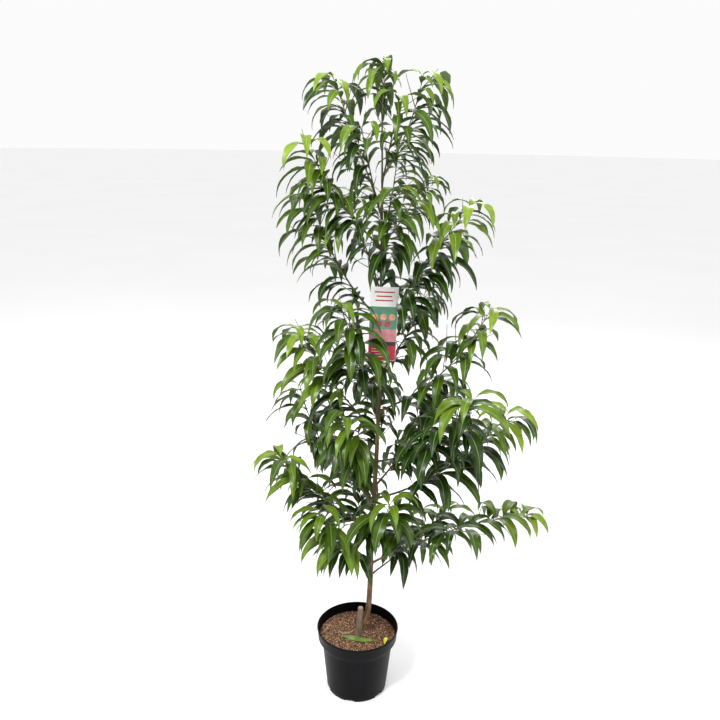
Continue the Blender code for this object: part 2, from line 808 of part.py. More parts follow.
def mesh_data(thing):
    points = [vertex.co.copy() for vertex in thing.data.vertices]
    faces = [tuple(face.vertices) for face in thing.data.polygons]
    return points, faces


def main():
    clear_scene()
    make_pot()
    make_soil()
    trunk = make_trunk()
    card, strap = make_card()
    cope = trunk_tube("cope", GAP)
    cope.hide_render = True
    cope.display_type = "WIRE"
    taken = Taken()
    for thing in (trunk, card, strap):
        points, faces = mesh_data(thing)
        taken.add(points, faces)
    lines = [limb_line(limb) for limb in LIMBS]
    for limb, line in zip(LIMBS, lines):
        radii = [limb_radius(limb, step / LIMB_STEPS) for step in range(LIMB_STEPS + 1)]
        points, faces = tube(line, radii, BOUGH_SIDES)
        taken.add(points, faces, limb.name)
    spaces = Spaces()
    for index, (limb, line) in enumerate(zip(LIMBS, lines)):
        start = 0.0
        if limb.name not in NO_BOUGH:
            make_bough(limb, line, cope)
            start = BOUGH_SHARE
        if limb.name == "top":
            line = [point + Vector((0, 0, GAP)) for point in line]
        needs_cope = cope if limb.name in NO_BOUGH and limb.name != "top" else None
        grow_mass(index, limb, line, start, spaces, taken, needs_cope)
    bpy.data.objects.remove(cope, do_unlink=True)


main()
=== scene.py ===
"""The looks of a young potted fruit tree with drooping lance-shaped leaves.

Metres, +Z up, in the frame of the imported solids. The crown is grown again from the same limbs
and by the same rule as the solids, carried on to finer twigs and to leaves of real size.
"""

import math
import random
from collections import namedtuple

import bpy
import numpy as np
from bpy.props import FloatProperty, FloatVectorProperty, IntProperty, PointerProperty
from mathutils import Matrix, Vector, noise
from mathutils.bvhtree import BVHTree


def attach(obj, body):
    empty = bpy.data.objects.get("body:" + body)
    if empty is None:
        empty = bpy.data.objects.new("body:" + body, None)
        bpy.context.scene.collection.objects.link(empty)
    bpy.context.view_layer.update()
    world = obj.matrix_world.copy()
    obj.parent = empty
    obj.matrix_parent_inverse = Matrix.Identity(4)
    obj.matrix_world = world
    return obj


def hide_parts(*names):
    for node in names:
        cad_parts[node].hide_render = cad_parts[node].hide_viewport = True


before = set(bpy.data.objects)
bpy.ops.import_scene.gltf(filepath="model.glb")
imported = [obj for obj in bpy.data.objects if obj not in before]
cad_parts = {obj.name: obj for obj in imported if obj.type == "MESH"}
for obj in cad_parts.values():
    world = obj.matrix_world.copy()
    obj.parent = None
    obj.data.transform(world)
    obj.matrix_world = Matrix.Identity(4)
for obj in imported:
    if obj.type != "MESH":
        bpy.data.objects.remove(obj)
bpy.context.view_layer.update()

bl_info = {
    "name": "Potted fruit tree",
    "version": (1, 0, 0),
    "blender": (4, 5, 0),
    "location": "3D View > Sidebar > Tree",
    "description": "Builds the finished surfaces of a young fruit tree in its nursery pot",
    "category": "Object",
}

# Pot and soil
POT_HEIGHT = 0.200
POT_FOOT_RADIUS = 0.0885
POT_BODY_RADIUS = 0.1045
POT_SHOULDER_HEIGHT = 0.159
POT_COLLAR_HEIGHT = 0.165
POT_COLLAR_RADIUS = 0.1165
POT_RIM_RADIUS = 0.120
POT_LIP = 0.004
POT_WALL = 0.002
POT_FLOOR = 0.003
POT_SIDES = 144
DRAIN_COUNT = 6
DRAIN_START = 258.0
DRAIN_WIDTH = 0.028
DRAIN_HEIGHT = 0.008
MARK_ACROSS = 0.004
MARK_HEIGHT = 0.126
MARK_LENGTH = 0.010
SOIL_LEVEL = 0.173
SOIL_FLAT_RADIUS = 0.024
SOIL_EDGE_DROP = 0.0035
SOIL_MOUND = (0.068, -0.020, 0.030, 0.009)
SOIL_HOLLOW = (0.042, 0.036, 0.026, -0.012)
SOIL_EDGE_RADIUS = 0.1140
SOIL_FOOT_RADIUS = 0.0860
SOIL_RINGS = 40
SOIL_SPOKES = 120

# Trunk
STOCK_FOOT = (0.004, -0.009)
STOCK_LEAN = (0.045, 0.02)
STOCK_HEIGHT = 0.095
STOCK_RADIUS = 0.0100
STOCK_TOP_RADIUS = 0.0080
STOCK_FLARE = 0.0045
STOCK_FLARE_HEIGHT = 0.016
STOCK_SIDES = 40
STOCK_STEPS = 50
TRUNK_LINE = (
    (0.005, -0.008, 0.190),
    (0.018, -0.004, 0.214),
    (0.030, 0.000, 0.252),
    (0.0345, 0.001, 0.340),
    (0.036, 0.000, 0.490),
    (0.046, -0.003, 0.830),
    (0.046, 0.002, 1.150),
    (0.043, 0.000, 1.440),
    (0.038, 0.002, 1.650),
)
TRUNK_BASE_RADIUS = 0.0084
TRUNK_TIP_RADIUS = 0.0019
TRUNK_SIDES = 24
TRUNK_STEPS = 330
NODE_SWELL = 0.0012

# Limbs, with the shares and sizes that every limb follows
BOUGH_SHARE = 0.18
BARK_SHARE = 0.42
BOUGH_THICKNESS = (0.0017, 0.0036)
STEM_TIP_RADIUS = 0.0007
LIMB_SWAY = 5.0
LIMB_STEPS = 12
LIMB_SIDES = 9
TWIG_RADIUS = 0.0013
TWIG_LENGTH = (0.26, 0.16)
TWIG_SPREAD = 48.0
TWIG_SIDES = 6
TURN = 137.5

# Leaves
LEAF_YOUNG = 0.62
LEAF_OLD = 1.04
LEAF_VARIES = (0.86, 1.12)
LEAF_RISE = (15.0, 58.0)
LEAF_DROOP = (-102.0, -62.0)
LEAF_SICKLE = 38.0
LEAF_TWIST = 34.0
LEAF_TRIES = 14
# Part of the leaf stalk that may lie against the shoot it grows from
LEAF_FREE_STATIONS = 1
LEAF_STATIONS = 12
LEAF_ACROSS = (-1.0, -0.55, -0.07, 0.07, 0.55, 1.0)
LEAF_UNDER = (0.07, -0.07)
LEAF_THICKNESS = 0.0005
LEAF_STALK = 0.07
SPACE_DROP = 0.035
SPACE_REACH = 0.150
BUD_LENGTH = 0.0042
BUD_FOOT = 0.0018
BUD_RADIUS = 0.0010

# Name card and its strap
CARD_CENTRE = (0.053, -0.0155)
CARD_SIZE = (0.073, 0.198, 0.0008)
CARD_TOP = 1.226
CARD_TILT = 1.2
CARD_BOW = 0.0022
INK_LAYER = 0.00012
STRAP_LEVEL = 1.245
STRAP_WIDTH = 0.006
STRAP_THICKNESS = 0.0012

SEED = 41

Limb = namedtuple("Limb", "name height angle length foot_pitch tip_pitch leaves twigs")
LIMBS = (
    Limb("01", 0.370, 28, 0.300, 24, 36, 20, 3),
    Limb("02", 0.408, 6, 0.490, 32, 0, 24, 3),
    Limb("03", 0.418, 215, 0.280, 42, 60, 16, 2),
    Limb("04", 0.450, 108, 0.330, 34, 60, 18, 2),
    Limb("05", 0.523, 190, 0.360, 30, 56, 22, 3),
    Limb("06", 0.500, 284, 0.260, 35, 60, 14, 1),
    Limb("07", 0.612, 154, 0.400, 28, 76, 22, 3),
    Limb("08", 0.617, 354, 0.470, 17, 60, 25, 4),
    Limb("09", 0.655, 38, 0.380, 30, 62, 22, 3),
    Limb("10", 0.732, 322, 0.400, 21, 60, 22, 3),
    Limb("11", 0.700, 243, 0.280, 40, 62, 15, 2),
    Limb("12", 0.725, 92, 0.320, 38, 66, 17, 2),
    Limb("13", 0.819, 178, 0.370, 44, 62, 20, 2),
    Limb("14", 0.880, 15, 0.430, 19, 64, 20, 2),
    Limb("15", 0.860, 122, 0.330, 45, 70, 17, 2),
    Limb("16", 0.930, 226, 0.300, 50, 72, 16, 2),
    Limb("17", 0.980, 56, 0.320, 24, 56, 17, 2),
    Limb("18", 1.087, 352, 0.420, 62, 54, 23, 3),
    Limb("19", 1.132, 165, 0.400, 43, 76, 21, 2),
    Limb("20", 1.270, 278, 0.230, 52, 70, 12, 1),
    Limb("21", 1.175, 92, 0.320, 50, 70, 16, 2),
    Limb("22", 1.322, 203, 0.335, 42, 62, 18, 2),
    Limb("23", 1.350, 70, 0.290, 54, 70, 14, 1),
    Limb("24", 1.416, 160, 0.350, 66, 68, 18, 2),
    Limb("25", 1.490, 292, 0.220, 58, 72, 11, 1),
    Limb("26", 1.498, 18, 0.270, 56, 80, 13, 1),
    Limb("27", 1.208, 132, 0.280, 56, 72, 13, 1),
    Limb("28", 1.400, 242, 0.250, 52, 72, 12, 1),
    Limb("29", 1.330, 338, 0.200, 48, 66, 10, 0),
    Limb("top", 1.650, 0, 0.118, 89, 86, 16, 0),
)
# Limbs in full light: their outer leaves get the palest greens, painted light as well as young growth
SUNLIT = ("02", "05", "08", "13", "14", "18", "22", "24", "26")
BOUGH_NODES = [name for name in sorted(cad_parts) if name.startswith("bough_")]
FOLIAGE_NODES = [name for name in sorted(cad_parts) if name.startswith("foliage_")]

# Camera: standing height, looking a little down at the crown, turned slightly on its axis
CAMERA_PLACE = (0.0, -1.960, 1.611)
CAMERA_PITCH = 16.68
CAMERA_YAW = -0.17
CAMERA_ROLL = 0.96
CAMERA_LENS = 38.35


class TreeSettings(bpy.types.PropertyGroup):
    """Sizes and colours that a user would change."""

    leaf_length: FloatProperty(
        name="Leaf length", description="Length of a grown leaf", default=0.150, unit="LENGTH")
    leaf_width: FloatProperty(
        name="Leaf width", description="Width of a leaf as a share of its length", default=0.205)
    leaf_count: FloatProperty(
        name="Leaf count", description="Leaves for each leaf of the solids", default=1.95)
    extra_twigs: IntProperty(
        name="Extra twigs", description="Finer side twigs added to every limb", default=4)
    deep_green: FloatVectorProperty(
        name="Deep green", description="Shaded grown leaves", subtype="COLOR",
        default=(0.013, 0.037, 0.002))
    mid_green: FloatVectorProperty(
        name="Mid green", description="Grown leaves", subtype="COLOR",
        default=(0.038, 0.080, 0.003))
    fresh_green: FloatVectorProperty(
        name="Fresh green", description="Leaves in full light", subtype="COLOR",
        default=(0.092, 0.158, 0.007))
    # Palest green for the tips of the sunlit limbs: young leaves with painted light
    young_sunlit_green: FloatVectorProperty(
        name="Young green", description="Young leaves at the tips", subtype="COLOR",
        default=(0.165, 0.255, 0.015))
    bark_low: FloatVectorProperty(
        name="Low bark", description="Bark of the lower trunk", subtype="COLOR",
        default=(0.120, 0.066, 0.030))
    bark_high: FloatVectorProperty(
        name="High bark", description="Bark of the upper trunk", subtype="COLOR",
        default=(0.050, 0.052, 0.022))
    pot_colour: FloatVectorProperty(
        name="Pot", description="Moulded plastic of the pot", subtype="COLOR",
        default=(0.0022, 0.0023, 0.0030))
    soil_colour: FloatVectorProperty(
        name="Compost", description="Damp bark compost", subtype="COLOR",
        default=(0.105, 0.050, 0.025))


def settings():
    return bpy.context.scene.tree_settings


def new_material(name, colour, roughness, specular=0.5):
    """A Principled material and its parts."""
    made = bpy.data.materials.new(name)
    made.use_nodes = True
    nodes = made.node_tree.nodes
    shader = nodes["Principled BSDF"]
    shader.inputs["Base Color"].default_value = (*colour, 1.0)
    shader.inputs["Roughness"].default_value = roughness
    shader.inputs["Specular IOR Level"].default_value = specular
    made.diffuse_color = (*colour, 1.0)
    return made, nodes, made.node_tree.links, shader


def noise_field(nodes, links, scale, stretch=(1, 1, 1), detail=4.0):
    """Noise on object coordinates, drawn out along an axis by the stretch."""
    place = nodes.new("ShaderNodeTexCoord")
    mapping = nodes.new("ShaderNodeMapping")
    mapping.inputs["Scale"].default_value = stretch
    field = nodes.new("ShaderNodeTexNoise")
    field.inputs["Scale"].default_value = scale
    field.inputs["Detail"].default_value = detail
    links.new(place.outputs["Object"], mapping.inputs["Vector"])
    links.new(mapping.outputs["Vector"], field.inputs["Vector"])
    return field.outputs["Fac"]


def two_tones(nodes, links, factor, dark, light, low=0.35, high=0.65):
    ramp = nodes.new("ShaderNodeValToRGB")
    ramp.color_ramp.elements[0].position = low
    ramp.color_ramp.elements[0].color = (*dark, 1.0)
    ramp.color_ramp.elements[1].position = high
    ramp.color_ramp.elements[1].color = (*light, 1.0)
    links.new(factor, ramp.inputs["Fac"])
    return ramp.outputs["Color"]


def add_bump(nodes, links, shader, height, strength, distance):
    bump = nodes.new("ShaderNodeBump")
    bump.inputs["Strength"].default_value = strength
    bump.inputs["Distance"].default_value = distance
    links.new(height, bump.inputs["Height"])
    links.new(bump.outputs["Normal"], shader.inputs["Normal"])


def vary_roughness(nodes, links, shader, factor, low, high):
    spread = nodes.new("ShaderNodeMapRange")
    spread.inputs["To Min"].default_value = low
    spread.inputs["To Max"].default_value = high
    links.new(factor, spread.inputs["Value"])
    links.new(spread.outputs["Result"], shader.inputs["Roughness"])


def shade_of(colour, share):
    return tuple(min(channel * share, 1.0) for channel in colour)


def mottled(name, colour, roughness, scale, contrast=0.2, stretch=(1, 1, 1), bump=0.15,
            bump_scale=None, distance=0.0004, specular=0.5):
    """A surface whose colour, roughness and relief vary by noise."""
    made, nodes, links, shader = new_material(name, colour, roughness, specular)
    field = noise_field(nodes, links, scale, stretch)
    tones = two_tones(nodes, links, field, shade_of(colour, 1 - contrast), shade_of(colour, 1 + contrast))
    links.new(tones, shader.inputs["Base Color"])
    vary_roughness(nodes, links, shader, field, roughness - 0.07, roughness + 0.07)
    relief = noise_field(nodes, links, bump_scale or scale * 4, stretch, 6.0)
    add_bump(nodes, links, shader, relief, bump, distance)
    return made


def leaf_material(name, colour, roughness=0.30):
    """Glossy leaf skin: soft patches of lighter green and a fine net of raised veins."""
    made, nodes, links, shader = new_material(name, colour, roughness, 0.30)
    patches = noise_field(nodes, links, 38.0)
    tones = two_tones(nodes, links, patches, shade_of(colour, 0.74), shade_of(colour, 1.34), 0.32, 0.68)
    links.new(tones, shader.inputs["Base Color"])
    vary_roughness(nodes, links, shader, patches, roughness - 0.06, roughness + 0.10)
    place = nodes.new("ShaderNodeTexCoord")
    veins = nodes.new("ShaderNodeTexVoronoi")
    veins.feature = "DISTANCE_TO_EDGE"
    veins.inputs["Scale"].default_value = 230.0
    links.new(place.outputs["Object"], veins.inputs["Vector"])
    add_bump(nodes, links, shader, veins.outputs["Distance"], 0.35, 0.0006)
    shader.inputs["Subsurface Weight"].default_value = 0.06
    shader.inputs["Subsurface Radius"].default_value = (0.3, 0.8, 0.2)
    shader.inputs["Subsurface Scale"].default_value = 0.001
    return made


def bark_material(name, low, high, turn_low, turn_high):
    """Bark that turns from one colour to another with height, with pale breathing pores."""
    made, nodes, links, shader = new_material(name, low, 0.62, 0.35)
    streaks = noise_field(nodes, links, 90.0, (1, 1, 0.22))
    low_tones = two_tones(nodes, links, streaks, shade_of(low, 0.45), shade_of(low, 1.7))
    high_tones = two_tones(nodes, links, streaks, shade_of(high, 0.6), shade_of(high, 1.55))
    place = nodes.new("ShaderNodeTexCoord")
    parts = nodes.new("ShaderNodeSeparateXYZ")
    links.new(place.outputs["Object"], parts.inputs["Vector"])
    height = nodes.new("ShaderNodeMapRange")
    height.inputs["From Min"].default_value = turn_low
    height.inputs["From Max"].default_value = turn_high
    links.new(parts.outputs["Z"], height.inputs["Value"])
    mix = nodes.new("ShaderNodeMix")
    mix.data_type = "RGBA"
    links.new(height.outputs["Result"], mix.inputs[0])
    links.new(low_tones, mix.inputs[6])
    links.new(high_tones, mix.inputs[7])
    mapping = nodes.new("ShaderNodeMapping")
    mapping.inputs["Scale"].default_value = (150.0, 150.0, 420.0)
    links.new(place.outputs["Object"], mapping.inputs["Vector"])
    pores = nodes.new("ShaderNodeTexVoronoi")
    pores.inputs["Scale"].default_value = 1.0
    links.new(mapping.outputs["Vector"], pores.inputs["Vector"])
    spots = two_tones(nodes, links, pores.outputs["Distance"], (1, 1, 1), (0, 0, 0), 0.10, 0.19)
    pale = nodes.new("ShaderNodeMix")
    pale.data_type = "RGBA"
    links.new(spots, pale.inputs[0])
    links.new(mix.outputs[2], pale.inputs[6])
    pale.inputs[7].default_value = (*shade_of(low, 2.6), 1.0)
    links.new(pale.outputs[2], shader.inputs["Base Color"])
    relief = noise_field(nodes, links, 260.0, (1, 1, 0.3), 8.0)
    add_bump(nodes, links, shader, relief, 0.5, 0.0008)
    return made


def finish_piece(piece, slot, *nodes):
    """The piece rides the one body and replaces the nodes; the slot is not used."""
    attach(piece, "root")
    if nodes:
        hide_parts(*nodes)
    return piece


def mesh_piece(name, points, faces, materials, slots=None, sharp=40.0):
    """A smooth-shaded mesh object at the origin, with a material index for each face."""
    mesh = bpy.data.meshes.new(name)
    mesh.from_pydata([tuple(point) for point in points], [], faces)
    for made in materials:
        mesh.materials.append(made)
    if slots is not None:
        mesh.polygons.foreach_set("material_index", slots)
    mesh.update()
    mesh.shade_smooth()
    mesh.set_sharp_from_angle(angle=math.radians(sharp))
    piece = bpy.data.objects.new(name, mesh)
    bpy.context.scene.collection.objects.link(piece)
    return piece


def applied(piece):
    """The object with its modifiers made part of its mesh."""
    graph = bpy.context.evaluated_depsgraph_get()
    mesh = bpy.data.meshes.new_from_object(piece.evaluated_get(graph), depsgraph=graph)
    piece.modifiers.clear()
    piece.data = mesh
    return piece


def smooth_line(stations, steps):
    """Points along a Catmull-Rom curve through the stations."""
    knots = [Vector(station) for station in stations]
    knots = [2 * knots[0] - knots[1], *knots, 2 * knots[-1] - knots[-2]]
    spans = len(stations) - 1
    line = []
    for step in range(steps + 1):
        place = min(step / steps * spans, spans - 1e-9)
        span = int(place)
        t = place - span
        a, b, c, d = knots[span : span + 4]
        line.append(
            0.5 * (2 * b + (c - a) * t + (2 * a - 5 * b + 4 * c - d) * t ** 2
                   + (3 * b - a - 3 * c + d) * t ** 3)
        )
    return line


def tube(line, radii, sides, relief=None):
    """A closed tube round the line; relief gives an added radius at a point and a turn."""
    across = None
    points = []
    for index, centre in enumerate(line):
        ahead = line[min(index + 1, len(line) - 1)]
        behind = line[max(index - 1, 0)]
        way = (ahead - behind).normalized()
        if across is None:
            across = Vector((1, 0, 0)) if abs(way.x) < 0.8 else Vector((0, 1, 0))
        across = (across - way * across.dot(way)).normalized()
        other = way.cross(across)
        for side in range(sides):
            turn = 2 * math.pi * side / sides
            ray = across * math.cos(turn) + other * math.sin(turn)
            radius = radii[index] + (relief(centre + ray * radii[index], ray) if relief else 0.0)
            points.append(centre + ray * radius)
    faces = []
    for ring in range(len(line) - 1):
        low = ring * sides
        for side in range(sides):
            after = (side + 1) % sides
            faces.append((low + side, low + after, low + sides + after, low + sides + side))
    faces.append(tuple(range(sides))[::-1])
    last = (len(line) - 1) * sides
    faces.append(tuple(last + side for side in range(sides)))
    return points, faces


def turned(profile, sides):
    """A surface turned about Z from (radius, height) pairs; a radius of 0 closes it."""
    points = []
    rings = []
    for radius, height in profile:
        if radius == 0:
            rings.append([len(points)])
            points.append((0.0, 0.0, height))
            continue
        rings.append(list(range(len(points), len(points) + sides)))
        for side in range(sides):
            turn = 2 * math.pi * side / sides
            points.append((radius * math.cos(turn), radius * math.sin(turn), height))
    faces = []
    for low, high in zip(rings, rings[1:]):
        for side in range(sides):
            after = (side + 1) % sides
            if len(low) == 1:
                faces.append((low[0], high[after], high[side]))
            elif len(high) == 1:
                faces.append((low[side], low[after], high[0]))
            else:
                faces.append((low[side], low[after], high[after], high[side]))
    return points, faces


def joined(shapes):
    """Many (points, faces) shapes as one."""
    points = []
    faces = []
    for shape_points, shape_faces in shapes:
        start = len(points)
        points.extend(shape_points)
        faces.extend(tuple(corner + start for corner in face) for face in shape_faces)
    return points, faces


def trunk_radius(height):
    bottom = TRUNK_LINE[0][2]
    top = TRUNK_LINE[-1][2]
    share = min(max((height - bottom) / (top - bottom), 0.0), 1.0)
    return TRUNK_TIP_RADIUS + (TRUNK_BASE_RADIUS - TRUNK_TIP_RADIUS) * (1 - share) ** 1.05


def trunk_at(height):
    line = smooth_line(TRUNK_LINE, 120)
    for low, high in zip(line, line[1:]):
        if low.z <= height <= high.z:
            return low.lerp(high, (height - low.z) / (high.z - low.z))
    return line[-1].copy()


def limb_line(limb, steps=LIMB_STEPS, drop=0.0):
    """The limb's centre line: an arc from the trunk whose pitch changes evenly to its tip."""
    place = trunk_at(limb.height) - Vector((0, 0, drop))
    line = [place.copy()]
    phase = limb.height * 40
    for step in range(steps):
        share = (step + 0.5) / steps
        pitch = math.radians(limb.foot_pitch + (limb.tip_pitch - limb.foot_pitch) * share)
        compass = math.radians(limb.angle + LIMB_SWAY * math.sin(phase + 7 * share))
        ahead = Vector((
            math.cos(pitch) * math.cos(compass),
            math.cos(pitch) * math.sin(compass),
            math.sin(pitch),
        ))
        place = place + ahead * (limb.length / steps)
        line.append(place.copy())
    return line


def along(line, share):
    place = min(max(share, 0.0), 1.0) * (len(line) - 1)
    index = min(int(place), len(line) - 2)
    step = line[index + 1] - line[index]
    return line[index] + step * (place - index), step.normalized()


def limb_radius(limb, share):
    foot = BOUGH_THICKNESS[0] + BOUGH_THICKNESS[1] * limb.length
    if limb.name == "top":
        foot = TRUNK_TIP_RADIUS
    collar = 0.55 * foot * math.exp(-share * limb.length / 0.009)
    return foot + (STEM_TIP_RADIUS - foot) * share ** 0.85 + collar


class Spaces:
    """Tells which limb a point hangs nearest to, so that each mass keeps to its own space."""

    def __init__(self):
        lines = [limb_line(limb, drop=SPACE_DROP) for limb in LIMBS]
        self.starts = np.array([[tuple(point) for point in line[:-1]] for line in lines])
        ends = np.array([[tuple(point) for point in line[1:]] for line in lines])
        self.steps = ends - self.starts

    def holds(self, index, points):
        points = np.array([tuple(point) for point in points])[:, None, None, :]
        share = ((points - self.starts) * self.steps).sum(-1) / (self.steps ** 2).sum(-1)
        nearest = self.starts + self.steps * np.clip(share, 0, 1)[..., None]
        away = np.sqrt(((points - nearest) ** 2).sum(-1)).min(-1)
        own = away[:, index]
        others = np.delete(away, index, axis=1).min(axis=1)
        return bool((own < SPACE_REACH).all() and (own < others).all())


class Taken:
    """What is already placed, which a new twig or leaf must not touch."""

    def __init__(self):
        self.centres = np.zeros((0, 3))
        self.reaches = np.zeros(0)
        self.shapes = []

    def measure(self, points):
        spots = np.array([tuple(point) for point in points])
        centre = spots.mean(0)
        return centre, np.sqrt(((spots - centre) ** 2).sum(1)).max()

    def add(self, points, faces, owner=None):
        centre, reach = self.measure(points)
        self.centres = np.vstack([self.centres, centre])
        self.reaches = np.append(self.reaches, reach)
        self.shapes.append((BVHTree.FromPolygons(points, faces), owner))

    def touches(self, points, faces, ignore):
        centre, reach = self.measure(points)
        away = np.sqrt(((self.centres - centre) ** 2).sum(1))
        near = np.nonzero(away < self.reaches + reach)[0]
        tree = BVHTree.FromPolygons(points, faces)
        for index in near:
            other, owner = self.shapes[index]
            if owner is not None and owner == ignore:
                continue
            if tree.overlap(other):
                return True
        return False


Leaf = namedtuple("Leaf", "root compass rise droop length sickle twist phase tone")


def leaf_corners(root, compass, rise, droop, length, width):
    """Tip, two edges and crest of a leaf, used to keep it in its own space."""
    ahead = Vector((math.cos(compass), math.sin(compass), 0))
    place = root.copy()
    middle = None
    for step in range(12):
        share = (step + 0.5) / 12
        pitch = math.radians(rise + (droop - rise) * share)
        if middle is None and share > 0.42:
            middle = place.copy()
            normal = Vector((0, 0, math.cos(pitch))) - ahead * math.sin(pitch)
        place = place + (ahead * math.cos(pitch) + Vector((0, 0, math.sin(pitch)))) * (length / 12)
    side = Vector((-ahead.y, ahead.x, 0)) * width * length / 2
    return place, middle + side, middle - side, middle + normal * 0.0012


class Crown:
    """The grown crown: twigs as lines with radii, and leaves as their driving numbers."""

    def __init__(self):
        self.rng = random.Random(SEED)
        self.spaces = Spaces()
        self.taken = Taken()
        self.lines = [limb_line(limb, 24) for limb in LIMBS]
        self.twigs = []
        self.leaves = []
        trunk = smooth_line(TRUNK_LINE, 40)
        self.taken.add(*tube(trunk, [trunk_radius(point.z) for point in trunk], 8))
        for name in ("label_card", "label_strap"):
            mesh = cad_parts[name].data
            points = [vertex.co.copy() for vertex in mesh.vertices]
            self.taken.add(points, [tuple(face.vertices) for face in mesh.polygons])
        for limb, line in zip(LIMBS, self.lines):
            radii = [limb_radius(limb, step / 24) for step in range(25)]
            self.taken.add(*tube(line, radii, 6), limb.name)
        for index, limb in enumerate(LIMBS):
            self.grow_limb(index, limb, self.lines[index])

    def grow_limb(self, index, limb, line):
        """Side twigs first, then leaves along the stem and along each twig."""
        rng = self.rng
        start = 0.05 if limb.name == "top" else max(BOUGH_SHARE * 0.8, 0.03 / limb.length)
        shoots = [(line, start, 1.0, round(limb.leaves * settings().leaf_count), True)]
        count = limb.twigs + settings().extra_twigs
        for number in range(count if limb.name != "top" else 0):
            share = start + 0.04 + (0.92 - start) * (number + 0.3) / count
            twig = self.place_twig(index, limb, line, share, 90 + TURN * number)
            if twig:
                shoots.append((twig, 0.30, 1.0, 5, False))
        for shoot, first, last, leaves, is_stem in shoots:
            compass = rng.uniform(0, 360)
            tone = rng.choice(("deep", "deep", "mid", "mid", "mid", "fresh"))
            for number in range(leaves):
                share = first + (last - first) * (number / max(leaves - 1, 1))
                root = along(shoot, min(share, 0.99))[0]
                compass += TURN + rng.uniform(-14, 14)
                self.place_leaf(index, limb, root, compass, share, self.tone_of(limb, share, tone, is_stem))

    def tone_of(self, limb, share, tone, is_stem):
        """Leaves at the tips are pale as young growth, and palest on the sunlit limbs as painted light; the
        shaded ones near the trunk are deep green as painted shade.
        """
        if is_stem and share > 0.9:
            return "young" if limb.name in SUNLIT else "fresh"
        if is_stem and share > 0.72 and limb.name in SUNLIT:
            return "fresh"
        if share < 0.35 and is_stem:
            return "deep"
        return tone if self.rng.random() < 0.8 else "mid"

    def place_twig(self, index, limb, line, share, turn):
        rng = self.rng
        root, ahead = along(line, share)
        across = ahead.orthogonal().normalized()
        length = TWIG_LENGTH[0] * limb.length * (1 - share) + TWIG_LENGTH[1] * 0.35
        for attempt in range(LEAF_TRIES):
            spin = Matrix.Rotation(math.radians(turn + 40 * attempt), 3, ahead)
            spread = math.radians(TWIG_SPREAD * rng.uniform(0.8, 1.15))
            way = ahead * math.cos(spread) + (spin @ across) * math.sin(spread)
            if way.z < -0.05:
                continue
            size = length * rng.uniform(0.75, 1.2) * (1 - 0.05 * attempt)
            twig = [root.copy()]
            for step in range(6):
                way = (way + Vector((rng.uniform(-0.06, 0.06), rng.uniform(-0.06, 0.06), 0.05))).normalized()
                twig.append(twig[-1] + way * size / 6)
            if not self.spaces.holds(index, twig[1:]):
                continue
            radii = [TWIG_RADIUS + (STEM_TIP_RADIUS * 0.8 - TWIG_RADIUS) * step / 6 for step in range(7)]
            tested = tube([root.lerp(twig[1], 0.5), *twig[1:]], [2 * radius for radius in radii], 3)
            if self.taken.touches(*tested, limb.name):
                continue
            self.taken.add(*tube(twig, radii, 3), limb.name)
            self.twigs.append((twig, radii))
            return twig
        return None

    def place_leaf(self, index, limb, root, compass, share, tone):
        rng = self.rng
        width = settings().leaf_width
        grown = math.sin(math.pi * (0.2 + 0.72 * share))
        length = settings().leaf_length * (LEAF_YOUNG + (LEAF_OLD - LEAF_YOUNG) * grown)
        length *= rng.uniform(*LEAF_VARIES)
        for attempt in range(LEAF_TRIES):
            swing = (attempt + 1) // 2 * 31 * (-1) ** attempt
            turn = math.radians(compass + swing + rng.uniform(-9, 9))
            rise = rng.uniform(*LEAF_RISE)
            droop = rng.uniform(*LEAF_DROOP)
            size = length * (1 - 0.035 * attempt)
            tip, left, right, top = leaf_corners(root, turn, rise, droop, size, width)
            if not self.spaces.holds(index, [tip, left, right, top, (tip + top) / 2]):
                continue
            leaf = Leaf(
                tuple(root), turn, rise, droop, size, rng.uniform(-LEAF_SICKLE, LEAF_SICKLE),
                rng.uniform(-LEAF_TWIST, LEAF_TWIST), rng.uniform(0, 6.28), tone,
            )
            points, faces, _ = leaf_mesh([leaf], width)
            around = len(LEAF_ACROSS) + len(LEAF_UNDER)
            if self.taken.touches(points, faces[around * LEAF_FREE_STATIONS :], None):
                continue
            self.taken.add(points, faces[around:])
            self.leaves.append(leaf)
            return


GROWN = {}


def crown():
    """The crown, grown once and shared by the pieces made from it."""
    if "crown" not in GROWN:
        GROWN["crown"] = Crown()
    return GROWN["crown"]


